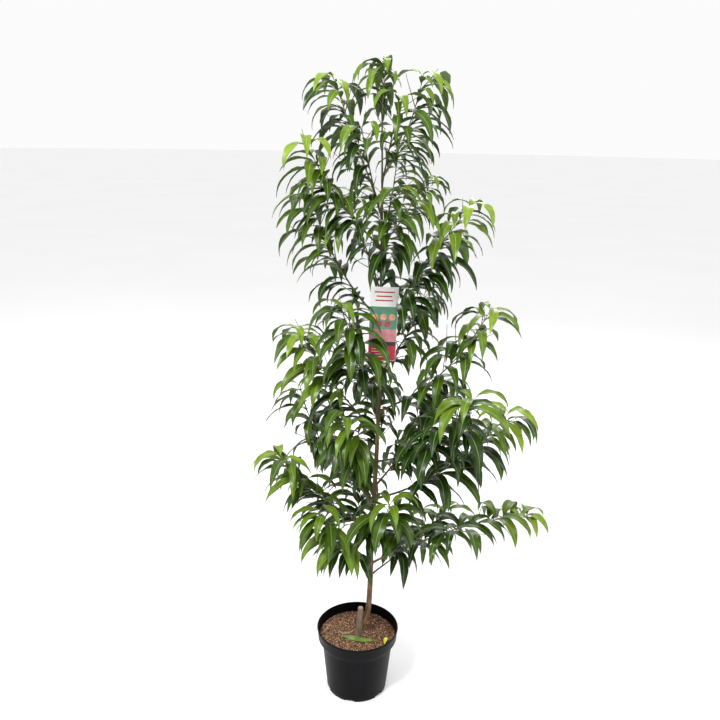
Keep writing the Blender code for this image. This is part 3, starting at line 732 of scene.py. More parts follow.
def leaf_mesh(leaves, width_ratio):
    """Points, faces and face slots of many leaves at once, each a closed thin folded blade."""
    count = len(leaves)
    stations = LEAF_STATIONS
    t = np.linspace(0, 1, stations + 1)
    root = np.array([leaf.root for leaf in leaves])
    number = {}
    for field in ("compass", "rise", "droop", "length", "sickle", "twist", "phase"):
        number[field] = np.array([getattr(leaf, field) for leaf in leaves])[:, None]
    middle = (t[1:] + t[:-1]) / 2

    def heading(at):
        pitch = np.radians(number["rise"] + (number["droop"] - number["rise"]) * at)
        compass = number["compass"] + np.radians(number["sickle"]) * at
        flat = np.cos(pitch)
        way = np.stack([flat * np.cos(compass), flat * np.sin(compass), np.sin(pitch)], -1)
        side = np.stack([-np.sin(compass), np.cos(compass), np.zeros_like(compass)], -1)
        return way, side

    steps, _ = heading(middle[None])
    centre = np.concatenate([np.zeros((count, 1, 3)), np.cumsum(steps, 1)], 1)
    centre = root[:, None] + centre * (number["length"] / stations)[..., None]
    way, side = heading(t[None])
    normal = np.cross(way, side)
    turn = np.radians(number["twist"]) * t[None]
    turned_side = side * np.cos(turn)[..., None] + normal * np.sin(turn)[..., None]
    turned_normal = normal * np.cos(turn)[..., None] - side * np.sin(turn)[..., None]
    blade = np.clip((t - LEAF_STALK) / (1 - LEAF_STALK), 0, 1)
    outline = blade ** 0.8 * (1 - blade) ** 1.2 / 0.260
    half = number["length"] * width_ratio / 2 * outline[None]
    half = half * (1 + 0.05 * np.sin(26 * t[None] + number["phase"])) + 0.0006
    ripple = 0.0016 * np.sin(17 * t[None] + 2 * number["phase"]) * outline[None]
    loop = []
    for u in LEAF_ACROSS:
        lift = half * (0.50 * abs(u) - 0.22 * u * u) + ripple * abs(u) * (1 if u > 0 else -1)
        lift = lift + LEAF_THICKNESS * (1 - abs(u)) / 2
        loop.append(centre + turned_side * (half * u)[..., None] + turned_normal * lift[..., None])
    for u in LEAF_UNDER:
        lift = half * 0.035 - LEAF_THICKNESS * (1.2 - abs(u))
        loop.append(centre + turned_side * (half * u)[..., None] + turned_normal * lift[..., None])
    points = np.stack(loop, 2).reshape(-1, 3)
    size = len(loop)
    per_leaf = (stations + 1) * size
    quads = []
    slots = []
    for station in range(stations):
        for corner in range(size):
            low = station * size
            after = (corner + 1) % size
            quads.append((low + corner, low + size + corner, low + size + after, low + after))
            slots.append(1 if corner == 2 else (0 if corner < 5 else 2))
    caps = [tuple(range(size)), tuple(stations * size + corner for corner in range(size))[::-1]]
    base_quads = np.array(quads)
    faces = []
    for index in range(count):
        start = index * per_leaf
        faces.extend((base_quads + start).tolist())
        faces.extend([corner + start for corner in cap] for cap in caps)
    return points.tolist(), faces, (slots + [0, 0]) * count


def leaf_materials(tone, colour):
    rib = tuple(0.55 * channel + 0.45 * pale for channel, pale in zip(colour, (0.30, 0.40, 0.10)))
    under = tuple(0.62 * channel + 0.38 * pale for channel, pale in zip(colour, (0.13, 0.21, 0.085)))
    return [
        leaf_material("leaf_" + tone, colour),
        mottled("rib_" + tone, rib, 0.45, 90.0, 0.12),
        mottled("underside_" + tone, under, 0.58, 45.0, 0.15),
    ]


def bud_shape(root, way):
    """A small pointed bud at a leaf's foot."""
    across = way.orthogonal().normalized() * BUD_RADIUS
    other = way.cross(across).normalized() * BUD_RADIUS
    points = [
        root + way * BUD_LENGTH,
        root - way * BUD_FOOT,
        root + across,
        root + other,
        root - across,
        root - other,
    ]
    faces = [(0, 2, 3), (0, 3, 4), (0, 4, 5), (0, 5, 2), (1, 3, 2), (1, 4, 3), (1, 5, 4), (1, 2, 5)]
    return points, faces


class TREE_OT_stage(bpy.types.Operator):
    """Make the floor, the soft lights and the camera"""

    bl_idname = "tree.make_stage"
    bl_label = "Stage, lights and camera"

    def execute(self, context):
        points, faces = turned([(60.0, -0.0005), (0, -0.0005)], 96)
        paint = mottled("floor_paint", (0.92, 0.92, 0.92), 0.8, 0.7, 0.01, bump=0.0)
        floor = mesh_piece("floor", points, faces, [paint])
        world = bpy.data.worlds.new("studio")
        world.use_nodes = True
        world.node_tree.nodes["Background"].inputs["Color"].default_value = (1.0, 1.0, 1.0, 1.0)
        world.node_tree.nodes["Background"].inputs["Strength"].default_value = 0.97
        context.scene.world = world
        self.add_light("key", (-1.3, -2.0, 3.8), 120.0, 0.8)
        self.add_light("fill", (2.6, -1.8, 2.6), 22.0, 1.4)
        self.add_light("rim", (0.8, 2.8, 3.0), 45.0, 1.4)
        self.add_camera(context)
        context.scene.view_settings.view_transform = "Standard"
        return {"FINISHED"}

    def add_light(self, name, place, watts, size):
        lamp = bpy.data.lights.new(name, "AREA")
        lamp.energy = watts
        lamp.size = size
        holder = bpy.data.objects.new(name, lamp)
        holder.location = place
        aim = Vector((0.04, 0, 0.95)) - Vector(place)
        holder.rotation_euler = aim.to_track_quat("-Z", "Y").to_euler()
        bpy.context.scene.collection.objects.link(holder)

    def add_camera(self, context):
        pitch = math.radians(CAMERA_PITCH)
        yaw = math.radians(CAMERA_YAW)
        roll = math.radians(CAMERA_ROLL)
        ahead = Vector((math.sin(yaw) * math.cos(pitch), math.cos(yaw) * math.cos(pitch), -math.sin(pitch)))
        level = ahead.cross(Vector((0, 0, 1))).normalized()
        above = level.cross(ahead)
        right = level * math.cos(roll) + above * math.sin(roll)
        up = above * math.cos(roll) - level * math.sin(roll)
        lens = bpy.data.cameras.new("camera")
        lens.sensor_fit = "HORIZONTAL"
        lens.sensor_width = 36.0
        lens.lens = CAMERA_LENS
        camera = bpy.data.objects.new("camera", lens)
        turn = Matrix((right, up, -ahead)).transposed().to_4x4()
        camera.matrix_world = Matrix.Translation(CAMERA_PLACE) @ turn
        context.scene.collection.objects.link(camera)
        context.scene.camera = camera


class TREE_OT_pot(bpy.types.Operator):
    """Make the moulded nursery pot"""

    bl_idname = "tree.make_pot"
    bl_label = "Pot"

    def execute(self, context):
        lip = POT_LIP
        outside = [
            (0, 0),
            (POT_FOOT_RADIUS - 0.0016, 0),
            (POT_FOOT_RADIUS - 0.0005, 0.0005),
            (POT_FOOT_RADIUS, 0.0018),
        ]
        for step in range(1, 9):
            share = step / 9
            radius = POT_FOOT_RADIUS + (POT_BODY_RADIUS - POT_FOOT_RADIUS) * share
            outside.append((radius, POT_SHOULDER_HEIGHT * share))
        outside += [
            (POT_BODY_RADIUS, POT_SHOULDER_HEIGHT),
            (POT_BODY_RADIUS + 0.0012, POT_SHOULDER_HEIGHT + 0.0016),
            (POT_COLLAR_RADIUS - 0.0022, POT_COLLAR_HEIGHT - 0.0006),
            (POT_COLLAR_RADIUS - 0.0006, POT_COLLAR_HEIGHT + 0.0004),
            (POT_COLLAR_RADIUS, POT_COLLAR_HEIGHT + 0.0022),
            (POT_RIM_RADIUS - 0.0022, POT_HEIGHT - 1.9 * lip),
            (POT_RIM_RADIUS - 0.0018, POT_HEIGHT - 1.55 * lip),
            (POT_RIM_RADIUS - 0.0004, POT_HEIGHT - 1.35 * lip),
        ]
        for step in range(9):
            turn = math.pi * step / 8
            radius = POT_RIM_RADIUS - lip / 2 + lip / 2 * math.cos(turn)
            outside.append((radius, POT_HEIGHT - lip / 2 + lip / 2 * math.sin(turn)))
        inside = [
            (POT_RIM_RADIUS - lip, POT_HEIGHT - lip),
            (POT_COLLAR_RADIUS - POT_WALL, POT_COLLAR_HEIGHT + POT_WALL),
            (POT_BODY_RADIUS - POT_WALL, POT_SHOULDER_HEIGHT + POT_WALL),
            (POT_FOOT_RADIUS - POT_WALL, POT_FLOOR),
            (0, POT_FLOOR),
        ]
        plastic = self.plastic()
        points, faces = turned(outside + inside, POT_SIDES)
        pot = mesh_piece("pot_shell", points, faces, [plastic], sharp=32.0)
        for index in range(DRAIN_COUNT):
            self.cut_drain(pot, math.radians(DRAIN_START) + 2 * math.pi * index / DRAIN_COUNT)
        pot.data.shade_smooth()
        pot.data.set_sharp_from_angle(angle=math.radians(32.0))
        finish_piece(pot, "pot", "pot")
        self.mould_mark(plastic)
        return {"FINISHED"}

    def plastic(self):
        """Black satin plastic: faint upright flow marks, dusty patches and a fine grain."""
        colour = tuple(settings().pot_colour)
        made, nodes, links, shader = new_material("black_plastic", colour, 0.42, 0.09)
        flow = noise_field(nodes, links, 34.0, (1, 1, 0.10), 5.0)
        tones = two_tones(nodes, links, flow, shade_of(colour, 0.75), shade_of(colour, 1.9), 0.40, 0.78)
        links.new(tones, shader.inputs["Base Color"])
        vary_roughness(nodes, links, shader, flow, 0.34, 0.52)
        grain = noise_field(nodes, links, 700.0, (1, 1, 1), 3.0)
        add_bump(nodes, links, shader, grain, 0.10, 0.0003)
        return made

    def cut_drain(self, pot, turn):
        """An arched opening through the pot's bottom edge."""
        half = DRAIN_WIDTH / 2
        arch = [(-half, 0.0), (half, 0.0)]
        for step in range(13):
            angle = math.pi * step / 12
            arch.append((half * math.cos(angle), DRAIN_HEIGHT * (0.45 + 0.55 * math.sin(angle))))
        out = Vector((math.cos(turn), math.sin(turn), 0))
        side = Vector((-math.sin(turn), math.cos(turn), 0))
        points = []
        for reach in (POT_FOOT_RADIUS + 0.008, POT_FOOT_RADIUS - 0.0045):
            for across, up in arch:
                points.append(out * reach + side * across + Vector((0, 0, up - 0.0002)))
        count = len(arch)
        faces = [tuple(range(count)), tuple(range(count, 2 * count))[::-1]]
        for index in range(count):
            after = (index + 1) % count
            faces.append((index, count + index, count + after, after))
        cutter = mesh_piece("drain_cutter", points, faces, [])
        change = pot.modifiers.new("drain", "BOOLEAN")
        change.operation = "DIFFERENCE"
        change.object = cutter
        applied(pot)
        bpy.data.objects.remove(cutter, do_unlink=True)

    def mould_mark(self, plastic):
        """The short raised mark that the mould leaves under the collar."""
        radius = POT_FOOT_RADIUS + (POT_BODY_RADIUS - POT_FOOT_RADIUS) * 0.83
        foot = Vector((MARK_ACROSS, 0.0002 - radius, MARK_HEIGHT))
        rise = Vector((0, -0.0013, MARK_LENGTH))
        line = [foot + rise * (step / 6) for step in range(7)]
        radii = [0.0003, 0.0008, 0.0009, 0.0009, 0.0009, 0.0008, 0.0003]
        points, faces = tube(line, radii, 10)
        finish_piece(mesh_piece("pot_mould_mark", points, faces, [plastic]), "pot")


def soil_height(x, y):
    """The crust's height: flat round the trunk, with a mound, a hollow and a rough surface."""
    height = 0.0
    for centre_x, centre_y, spread, rise in (SOIL_MOUND, SOIL_HOLLOW):
        away = math.hypot(x - centre_x, y - centre_y)
        height += rise * math.exp(-((away / spread) ** 2))
    height += 0.0014 * math.sin(95 * x + 1.1) * math.cos(80 * y - 0.4)
    height -= SOIL_EDGE_DROP * (math.hypot(x, y) / POT_COLLAR_RADIUS) ** 4
    from_trunk = math.hypot(x - STOCK_FOOT[0], y - STOCK_FOOT[1])
    ease = min(max((from_trunk - SOIL_FLAT_RADIUS) / 0.018, 0.0), 1.0)
    return SOIL_LEVEL + height * ease


class TREE_OT_soil(bpy.types.Operator):
    """Make the bark compost with its chunks, and what has fallen on it"""

    bl_idname = "tree.make_soil"
    bl_label = "Compost"

    def execute(self, context):
        crust = self.crust()
        base = tuple(settings().soil_colour)
        kinds = (
            ("chunks_dark", shade_of(base, 0.45), 1300, 0.0038, 3),
            ("chunks_brown", base, 1600, 0.0042, 7),
            ("chunks_red", (0.260, 0.110, 0.055), 1300, 0.0038, 11),
            ("chunks_tan", (0.430, 0.250, 0.130), 1300, 0.0036, 15),
            ("chunks_pale", (0.680, 0.520, 0.350), 650, 0.0028, 19),
        )
        chunk = self.chunk()
        for name, colour, count, size, seed in kinds:
            self.scatter(crust, chunk, name, colour, count, size, seed)
        bpy.data.objects.remove(chunk, do_unlink=True)
        finish_piece(crust, "soil", "soil")
        self.litter()
        return {"FINISHED"}

    def crust(self):
        """The compost as one closed body with a rough top."""
        profile = [(0, POT_FLOOR + 0.0004), (SOIL_FOOT_RADIUS, POT_FLOOR + 0.0004)]
        profile += [(POT_BODY_RADIUS - POT_WALL - 0.0006, POT_SHOULDER_HEIGHT + POT_WALL)]
        points, faces = turned(profile, SOIL_SPOKES)
        rings = [list(range(len(points) - SOIL_SPOKES, len(points)))]
        for ring in range(SOIL_RINGS):
            share = 1 - ring / SOIL_RINGS
            rings.append(list(range(len(points), len(points) + SOIL_SPOKES)))
            for spoke in range(SOIL_SPOKES):
                turn = 2 * math.pi * spoke / SOIL_SPOKES
                centre = (1 - share) ** 2
                x = STOCK_FOOT[0] * centre + SOIL_EDGE_RADIUS * share * math.cos(turn)
                y = STOCK_FOOT[1] * centre + SOIL_EDGE_RADIUS * share * math.sin(turn)
                rough = 0.0016 * noise.noise(Vector((x * 170, y * 170, 3.0)))
                points.append((x, y, soil_height(x, y) + rough))
        for low, high in zip(rings, rings[1:]):
            for spoke in range(SOIL_SPOKES):
                after = (spoke + 1) % SOIL_SPOKES
                faces.append((low[spoke], low[after], high[after], high[spoke]))
        middle = len(points)
        points.append((*STOCK_FOOT, SOIL_LEVEL))
        for spoke in range(SOIL_SPOKES):
            faces.append((rings[-1][spoke], rings[-1][(spoke + 1) % SOIL_SPOKES], middle))
        colour = shade_of(tuple(settings().soil_colour), 0.6)
        earth = mottled("damp_compost", colour, 0.92, 240.0, 0.6, bump=0.8, distance=0.002)
        return mesh_piece("compost", points, faces, [earth], sharp=80.0)

    def chunk(self):
        """One broken flake of bark, a unit across, that the scatter repeats."""
        rng = random.Random(SEED)
        points = []
        for start, least, most, height in ((0, 0.75, 1.05, -0.35), (20, 0.5, 0.85, 0.35)):
            for corner in range(6):
                turn = math.radians(60 * corner + start + rng.uniform(-14, 14))
                reach = rng.uniform(least, most)
                rise = height + rng.uniform(-0.1, 0.1)
                points.append((reach * math.cos(turn), 0.7 * reach * math.sin(turn), rise))
        faces = [tuple(range(6))[::-1], tuple(range(6, 12))]
        for corner in range(6):
            after = (corner + 1) % 6
            faces.append((corner, after, 6 + after, 6 + corner))
        piece = mesh_piece("bark_flake", points, faces, [], sharp=20.0)
        piece.hide_render = True
        return piece

    def scatter(self, crust, chunk, name, colour, count, size, seed):
        """Flakes spread over the crust's top by a small node tree, then made a plain mesh."""
        tree = bpy.data.node_groups.new(name, "GeometryNodeTree")
        face = tree.interface
        face.new_socket(name="Geometry", in_out="INPUT", socket_type="NodeSocketGeometry")
        density = face.new_socket(name="Density", in_out="INPUT", socket_type="NodeSocketFloat")
        flake_size = face.new_socket(name="Flake size", in_out="INPUT", socket_type="NodeSocketFloat")
        face.new_socket(name="Geometry", in_out="OUTPUT", socket_type="NodeSocketGeometry")
        nodes = tree.nodes
        links = tree.links
        entry = nodes.new("NodeGroupInput")
        leave = nodes.new("NodeGroupOutput")
        spread = nodes.new("GeometryNodeDistributePointsOnFaces")
        spread.inputs["Seed"].default_value = seed
        above = nodes.new("GeometryNodeInputPosition")
        parts = nodes.new("ShaderNodeSeparateXYZ")
        facing = nodes.new("GeometryNodeInputNormal")
        is_top = nodes.new("FunctionNodeCompare")
        is_top.data_type = "FLOAT"
        is_top.operation = "GREATER_THAN"
        is_top.inputs[1].default_value = 0.3
        level = nodes.new("ShaderNodeVectorMath")
        level.operation = "MULTIPLY"
        level.inputs[1].default_value = (1.0, 1.0, 0.0)
        reach = nodes.new("ShaderNodeVectorMath")
        reach.operation = "LENGTH"
        is_inside = nodes.new("FunctionNodeCompare")
        is_inside.data_type = "FLOAT"
        is_inside.operation = "LESS_THAN"
        is_inside.inputs[1].default_value = SOIL_EDGE_RADIUS - 0.0055
        both = nodes.new("FunctionNodeBooleanMath")
        flake = nodes.new("GeometryNodeObjectInfo")
        flake.inputs["Object"].default_value = chunk
        turn = nodes.new("FunctionNodeRandomValue")
        turn.data_type = "FLOAT_VECTOR"
        turn.inputs[0].default_value = (-0.7, -0.7, 0.0)
        turn.inputs[1].default_value = (0.7, 0.7, 6.28)
        turn.inputs["Seed"].default_value = seed + 1
        grow = nodes.new("FunctionNodeRandomValue")
        grow.data_type = "FLOAT_VECTOR"
        grow.inputs[0].default_value = (0.45, 0.40, 0.30)
        grow.inputs[1].default_value = (1.50, 1.10, 0.95)
        grow.inputs["Seed"].default_value = seed + 2
        scale = nodes.new("ShaderNodeVectorMath")
        scale.operation = "SCALE"
        place = nodes.new("GeometryNodeInstanceOnPoints")
        real = nodes.new("GeometryNodeRealizeInstances")
        paint = nodes.new("GeometryNodeSetMaterial")
        skin = mottled(name, colour, 0.86, 320.0, 0.35, bump=0.4, distance=0.0008)
        paint.inputs["Material"].default_value = skin
        links.new(facing.outputs["Normal"], parts.inputs["Vector"])
        links.new(parts.outputs["Z"], is_top.inputs[0])
        links.new(above.outputs["Position"], level.inputs[0])
        links.new(level.outputs["Vector"], reach.inputs[0])
        links.new(reach.outputs["Value"], is_inside.inputs[0])
        links.new(is_top.outputs["Result"], both.inputs[0])
        links.new(is_inside.outputs["Result"], both.inputs[1])
        links.new(entry.outputs["Geometry"], spread.inputs["Mesh"])
        links.new(both.outputs["Boolean"], spread.inputs["Selection"])
        links.new(entry.outputs["Density"], spread.inputs["Density"])
        links.new(spread.outputs["Points"], place.inputs["Points"])
        links.new(flake.outputs["Geometry"], place.inputs["Instance"])
        links.new(turn.outputs["Value"], place.inputs["Rotation"])
        links.new(grow.outputs["Value"], scale.inputs[0])
        links.new(entry.outputs["Flake size"], scale.inputs["Scale"])
        links.new(scale.outputs["Vector"], place.inputs["Scale"])
        links.new(place.outputs["Instances"], real.inputs["Geometry"])
        links.new(real.outputs["Geometry"], paint.inputs["Geometry"])
        links.new(paint.outputs["Geometry"], leave.inputs["Geometry"])
        piece = bpy.data.objects.new(name, crust.data.copy())
        bpy.context.scene.collection.objects.link(piece)
        change = piece.modifiers.new("scatter", "NODES")
        change.node_group = tree
        change[density.identifier] = count / (math.pi * SOIL_EDGE_RADIUS ** 2)
        change[flake_size.identifier] = size
        applied(piece)
        if len(piece.data.polygons) < 100:
            raise RuntimeError(name + " came out empty")
        finish_piece(piece, "soil")

    def litter(self):
        """A fallen leaf, a scrap of yellow leaf and a pale rootlet on the compost."""
        fallen = [Leaf((-0.052, -0.016, 0.1795), math.radians(-24), 3, -4, 0.112, 20, 14, 1.0, "fresh")]
        points, faces, slots = leaf_mesh(fallen, 0.17)
        self.lay(points)
        green = leaf_materials("fallen", (0.105, 0.175, 0.022))
        finish_piece(mesh_piece("fallen_leaf", points, faces, green, slots), "foliage")
        scrap = [Leaf((0.087, -0.028, 0.176), math.radians(250), 30, -40, 0.030, 10, 40, 2.0, "young")]
        points, faces, slots = leaf_mesh(scrap, 0.34)
        self.lay(points)
        yellow = leaf_materials("yellowed", (0.62, 0.56, 0.04))
        finish_piece(mesh_piece("yellow_leaf_scrap", points, faces, yellow, slots), "foliage")
        root = smooth_line([
            (-0.056, 0.004, 0.176), (-0.044, -0.004, 0.1775), (-0.028, -0.003, 0.178), (-0.014, 0.006, 0.179),
        ], 24)
        root = [Vector((point.x, point.y, soil_height(point.x, point.y) + 0.0022)) for point in root]
        points, faces = tube(root, [0.0006 + 0.0007 * math.sin(math.pi * step / 24) for step in range(25)], 8)
        pale = mottled("pale_rootlet", (0.46, 0.33, 0.22), 0.75, 200.0, 0.25)
        finish_piece(mesh_piece("pale_rootlet", points, faces, [pale]), "bark")

    def lay(self, points):
        """Drops a leaf onto the crust, keeping its own curl."""
        lowest = min(point[2] for point in points)
        for point in points:
            curl = (point[2] - lowest) * 0.45
            point[2] = soil_height(point[0], point[1]) + 0.0026 + curl


class TREE_OT_trunk(bpy.types.Operator):
    """Make the trunk with the relief of its bark, and the pruned stock"""

    bl_idname = "tree.make_trunk"
    bl_label = "Trunk"

    def execute(self, context):
        line = smooth_line(TRUNK_LINE, TRUNK_STEPS)
        radii = [trunk_radius(point.z) for point in line]
        feet = [(limb.height, math.radians(limb.angle)) for limb in LIMBS if limb.name != "top"]

        def relief(point, ray):
            ridge = 0.00030 * noise.noise(Vector((point.x * 160, point.y * 160, point.z * 34)))
            grain = 0.00014 * noise.noise(Vector((point.x * 520, point.y * 520, point.z * 260)))
            swell = 0.0
            facing = math.atan2(ray.y, ray.x)
            for height, angle in feet:
                near = math.exp(-((point.z - height) / 0.007) ** 2)
                if near > 0.01:
                    swell += NODE_SWELL * near * (0.55 + 0.45 * math.cos(facing - angle))
            return ridge + grain + swell

        low = tuple(settings().bark_low)
        bark = bark_material("trunk_bark", low, tuple(settings().bark_high), 0.62, 1.05)
        points, faces = tube(line, radii, TRUNK_SIDES, relief)
        finish_piece(mesh_piece("trunk_stem", points, faces, [bark], sharp=60.0), "bark", "trunk")
        self.stock()
        return {"FINISHED"}

    def stock(self):
        """The cut-back stock with its root flare and its flat, weathered pruning cut."""
        line = []
        radii = []
        for step in range(STOCK_STEPS + 1):
            rise = STOCK_HEIGHT * step / STOCK_STEPS
            flare = STOCK_FLARE * max(0.0, 1 - rise / STOCK_FLARE_HEIGHT) ** 1.7
            line.append(Vector((
                STOCK_FOOT[0] + STOCK_LEAN[0] * rise,
                STOCK_FOOT[1] + STOCK_LEAN[1] * rise,
                SOIL_LEVEL - 0.002 + rise,
            )))
            radii.append(STOCK_RADIUS + (STOCK_TOP_RADIUS - STOCK_RADIUS) * rise / STOCK_HEIGHT + flare)
        radii[-1] -= 0.0009

        def relief(point, ray):
            ridge = 0.0007 * noise.noise(Vector((point.x * 210, point.y * 210, point.z * 30)))
            return ridge + 0.0003 * noise.noise(Vector((point.x * 600, point.y * 600, point.z * 400)))

        points, faces = tube(line, radii, STOCK_SIDES, relief)
        grey = bark_material("stock_bark", (0.165, 0.118, 0.086), (0.165, 0.118, 0.086), 0.1, 0.2)
        piece = mesh_piece("stock", points, faces, [grey], sharp=50.0)
        finish_piece(piece, "bark", "trunk")
        top = line[-1]
        rings = [
            (0, 0.0010),
            (0.0022, 0.0012),
            (0.0050, 0.0010),
            (0.0066, 0.0006),
            (0.0068, -0.0006),
            (0, -0.0008),
        ]
        points, faces = turned(rings, 32)
        faces = [face[::-1] for face in faces]
        points = [Vector(point) + top for point in points]
        cut = mottled("pruning_cut", (0.52, 0.33, 0.24), 0.72, 420.0, 0.30, bump=0.5, distance=0.0006)
        finish_piece(mesh_piece("pruning_cut", points, faces, [cut]), "bark")


class TREE_OT_limbs(bpy.types.Operator):
    """Make the boughs, their green stems, the side twigs and the buds"""

    bl_idname = "tree.make_limbs"
    bl_label = "Boughs and twigs"

    def execute(self, context):
        grown = crown()
        boughs = []
        stems = []
        split = round(LIMB_STEPS * 4 * BARK_SHARE)
        for limb in LIMBS:
            line = limb_line(limb, LIMB_STEPS * 4)
            radii = [limb_radius(limb, step / (len(line) - 1)) for step in range(len(line))]
            cut = 0 if limb.name == "top" else split
            if cut:
                boughs.append(tube(line[: cut + 1], radii[: cut + 1], LIMB_SIDES, self.relief))
            stems.append(tube(line[cut:], radii[cut:], LIMB_SIDES, self.relief))
        for twig, radii in grown.twigs:
            fine = smooth_line([tuple(point) for point in twig], 12)
            fine_radii = [radii[min(step // 2, len(radii) - 1)] for step in range(13)]
            stems.append(tube(fine, fine_radii, TWIG_SIDES))
        bark = bark_material("bough_bark", (0.105, 0.062, 0.026), (0.072, 0.066, 0.024), 0.5, 1.1)
        points, faces = joined(boughs)
        finish_piece(mesh_piece("bough_bark", points, faces, [bark]), "bark", *BOUGH_NODES)
        green = mottled("green_stem", (0.110, 0.120, 0.030), 0.5, 120.0, 0.35, (1, 1, 0.4))
        points, faces = joined(stems)
        finish_piece(mesh_piece("green_stems", points, faces, [green]), "foliage", *FOLIAGE_NODES)
        buds = []
        for leaf in grown.leaves:
            out = Vector((math.cos(leaf.compass), math.sin(leaf.compass), 1.4)).normalized()
            buds.append(bud_shape(Vector(leaf.root) + out * 0.0016, out))
        points, faces = joined(buds)
        bud_skin = mottled("bud_skin", (0.130, 0.105, 0.035), 0.55, 300.0, 0.3)
        finish_piece(mesh_piece("buds", points, faces, [bud_skin], sharp=80.0), "foliage")
        return {"FINISHED"}

    def relief(self, point, ray):
        return 0.00016 * noise.noise(Vector((point.x * 300, point.y * 300, point.z * 300)))


class TREE_OT_leaves(bpy.types.Operator):
    """Make the leaves, one piece for each tone of green"""

    bl_idname = "tree.make_leaves"
    bl_label = "Leaves"

    def execute(self, context):
        grown = crown()
        look = settings()
        # Painted light and shade in the greens: deep green for shaded leaves, fresh and palest green for
        # leaves in light
        tones = {
            "deep": look.deep_green,
            "mid": look.mid_green,
            "fresh": look.fresh_green,
            "young": look.young_sunlit_green,
        }
        for tone, colour in tones.items():
            leaves = [leaf for leaf in grown.leaves if leaf.tone == tone]
            if not leaves:
                raise RuntimeError("no leaves of tone " + tone)
            points, faces, slots = leaf_mesh(leaves, look.leaf_width)
            skins = leaf_materials(tone, tuple(colour))
            piece = mesh_piece("leaves_" + tone, points, faces, skins, slots, 60.0)
            finish_piece(piece, "foliage", *FOLIAGE_NODES)
        print("leaves", len(grown.leaves), "twigs", len(grown.twigs))
        return {"FINISHED"}


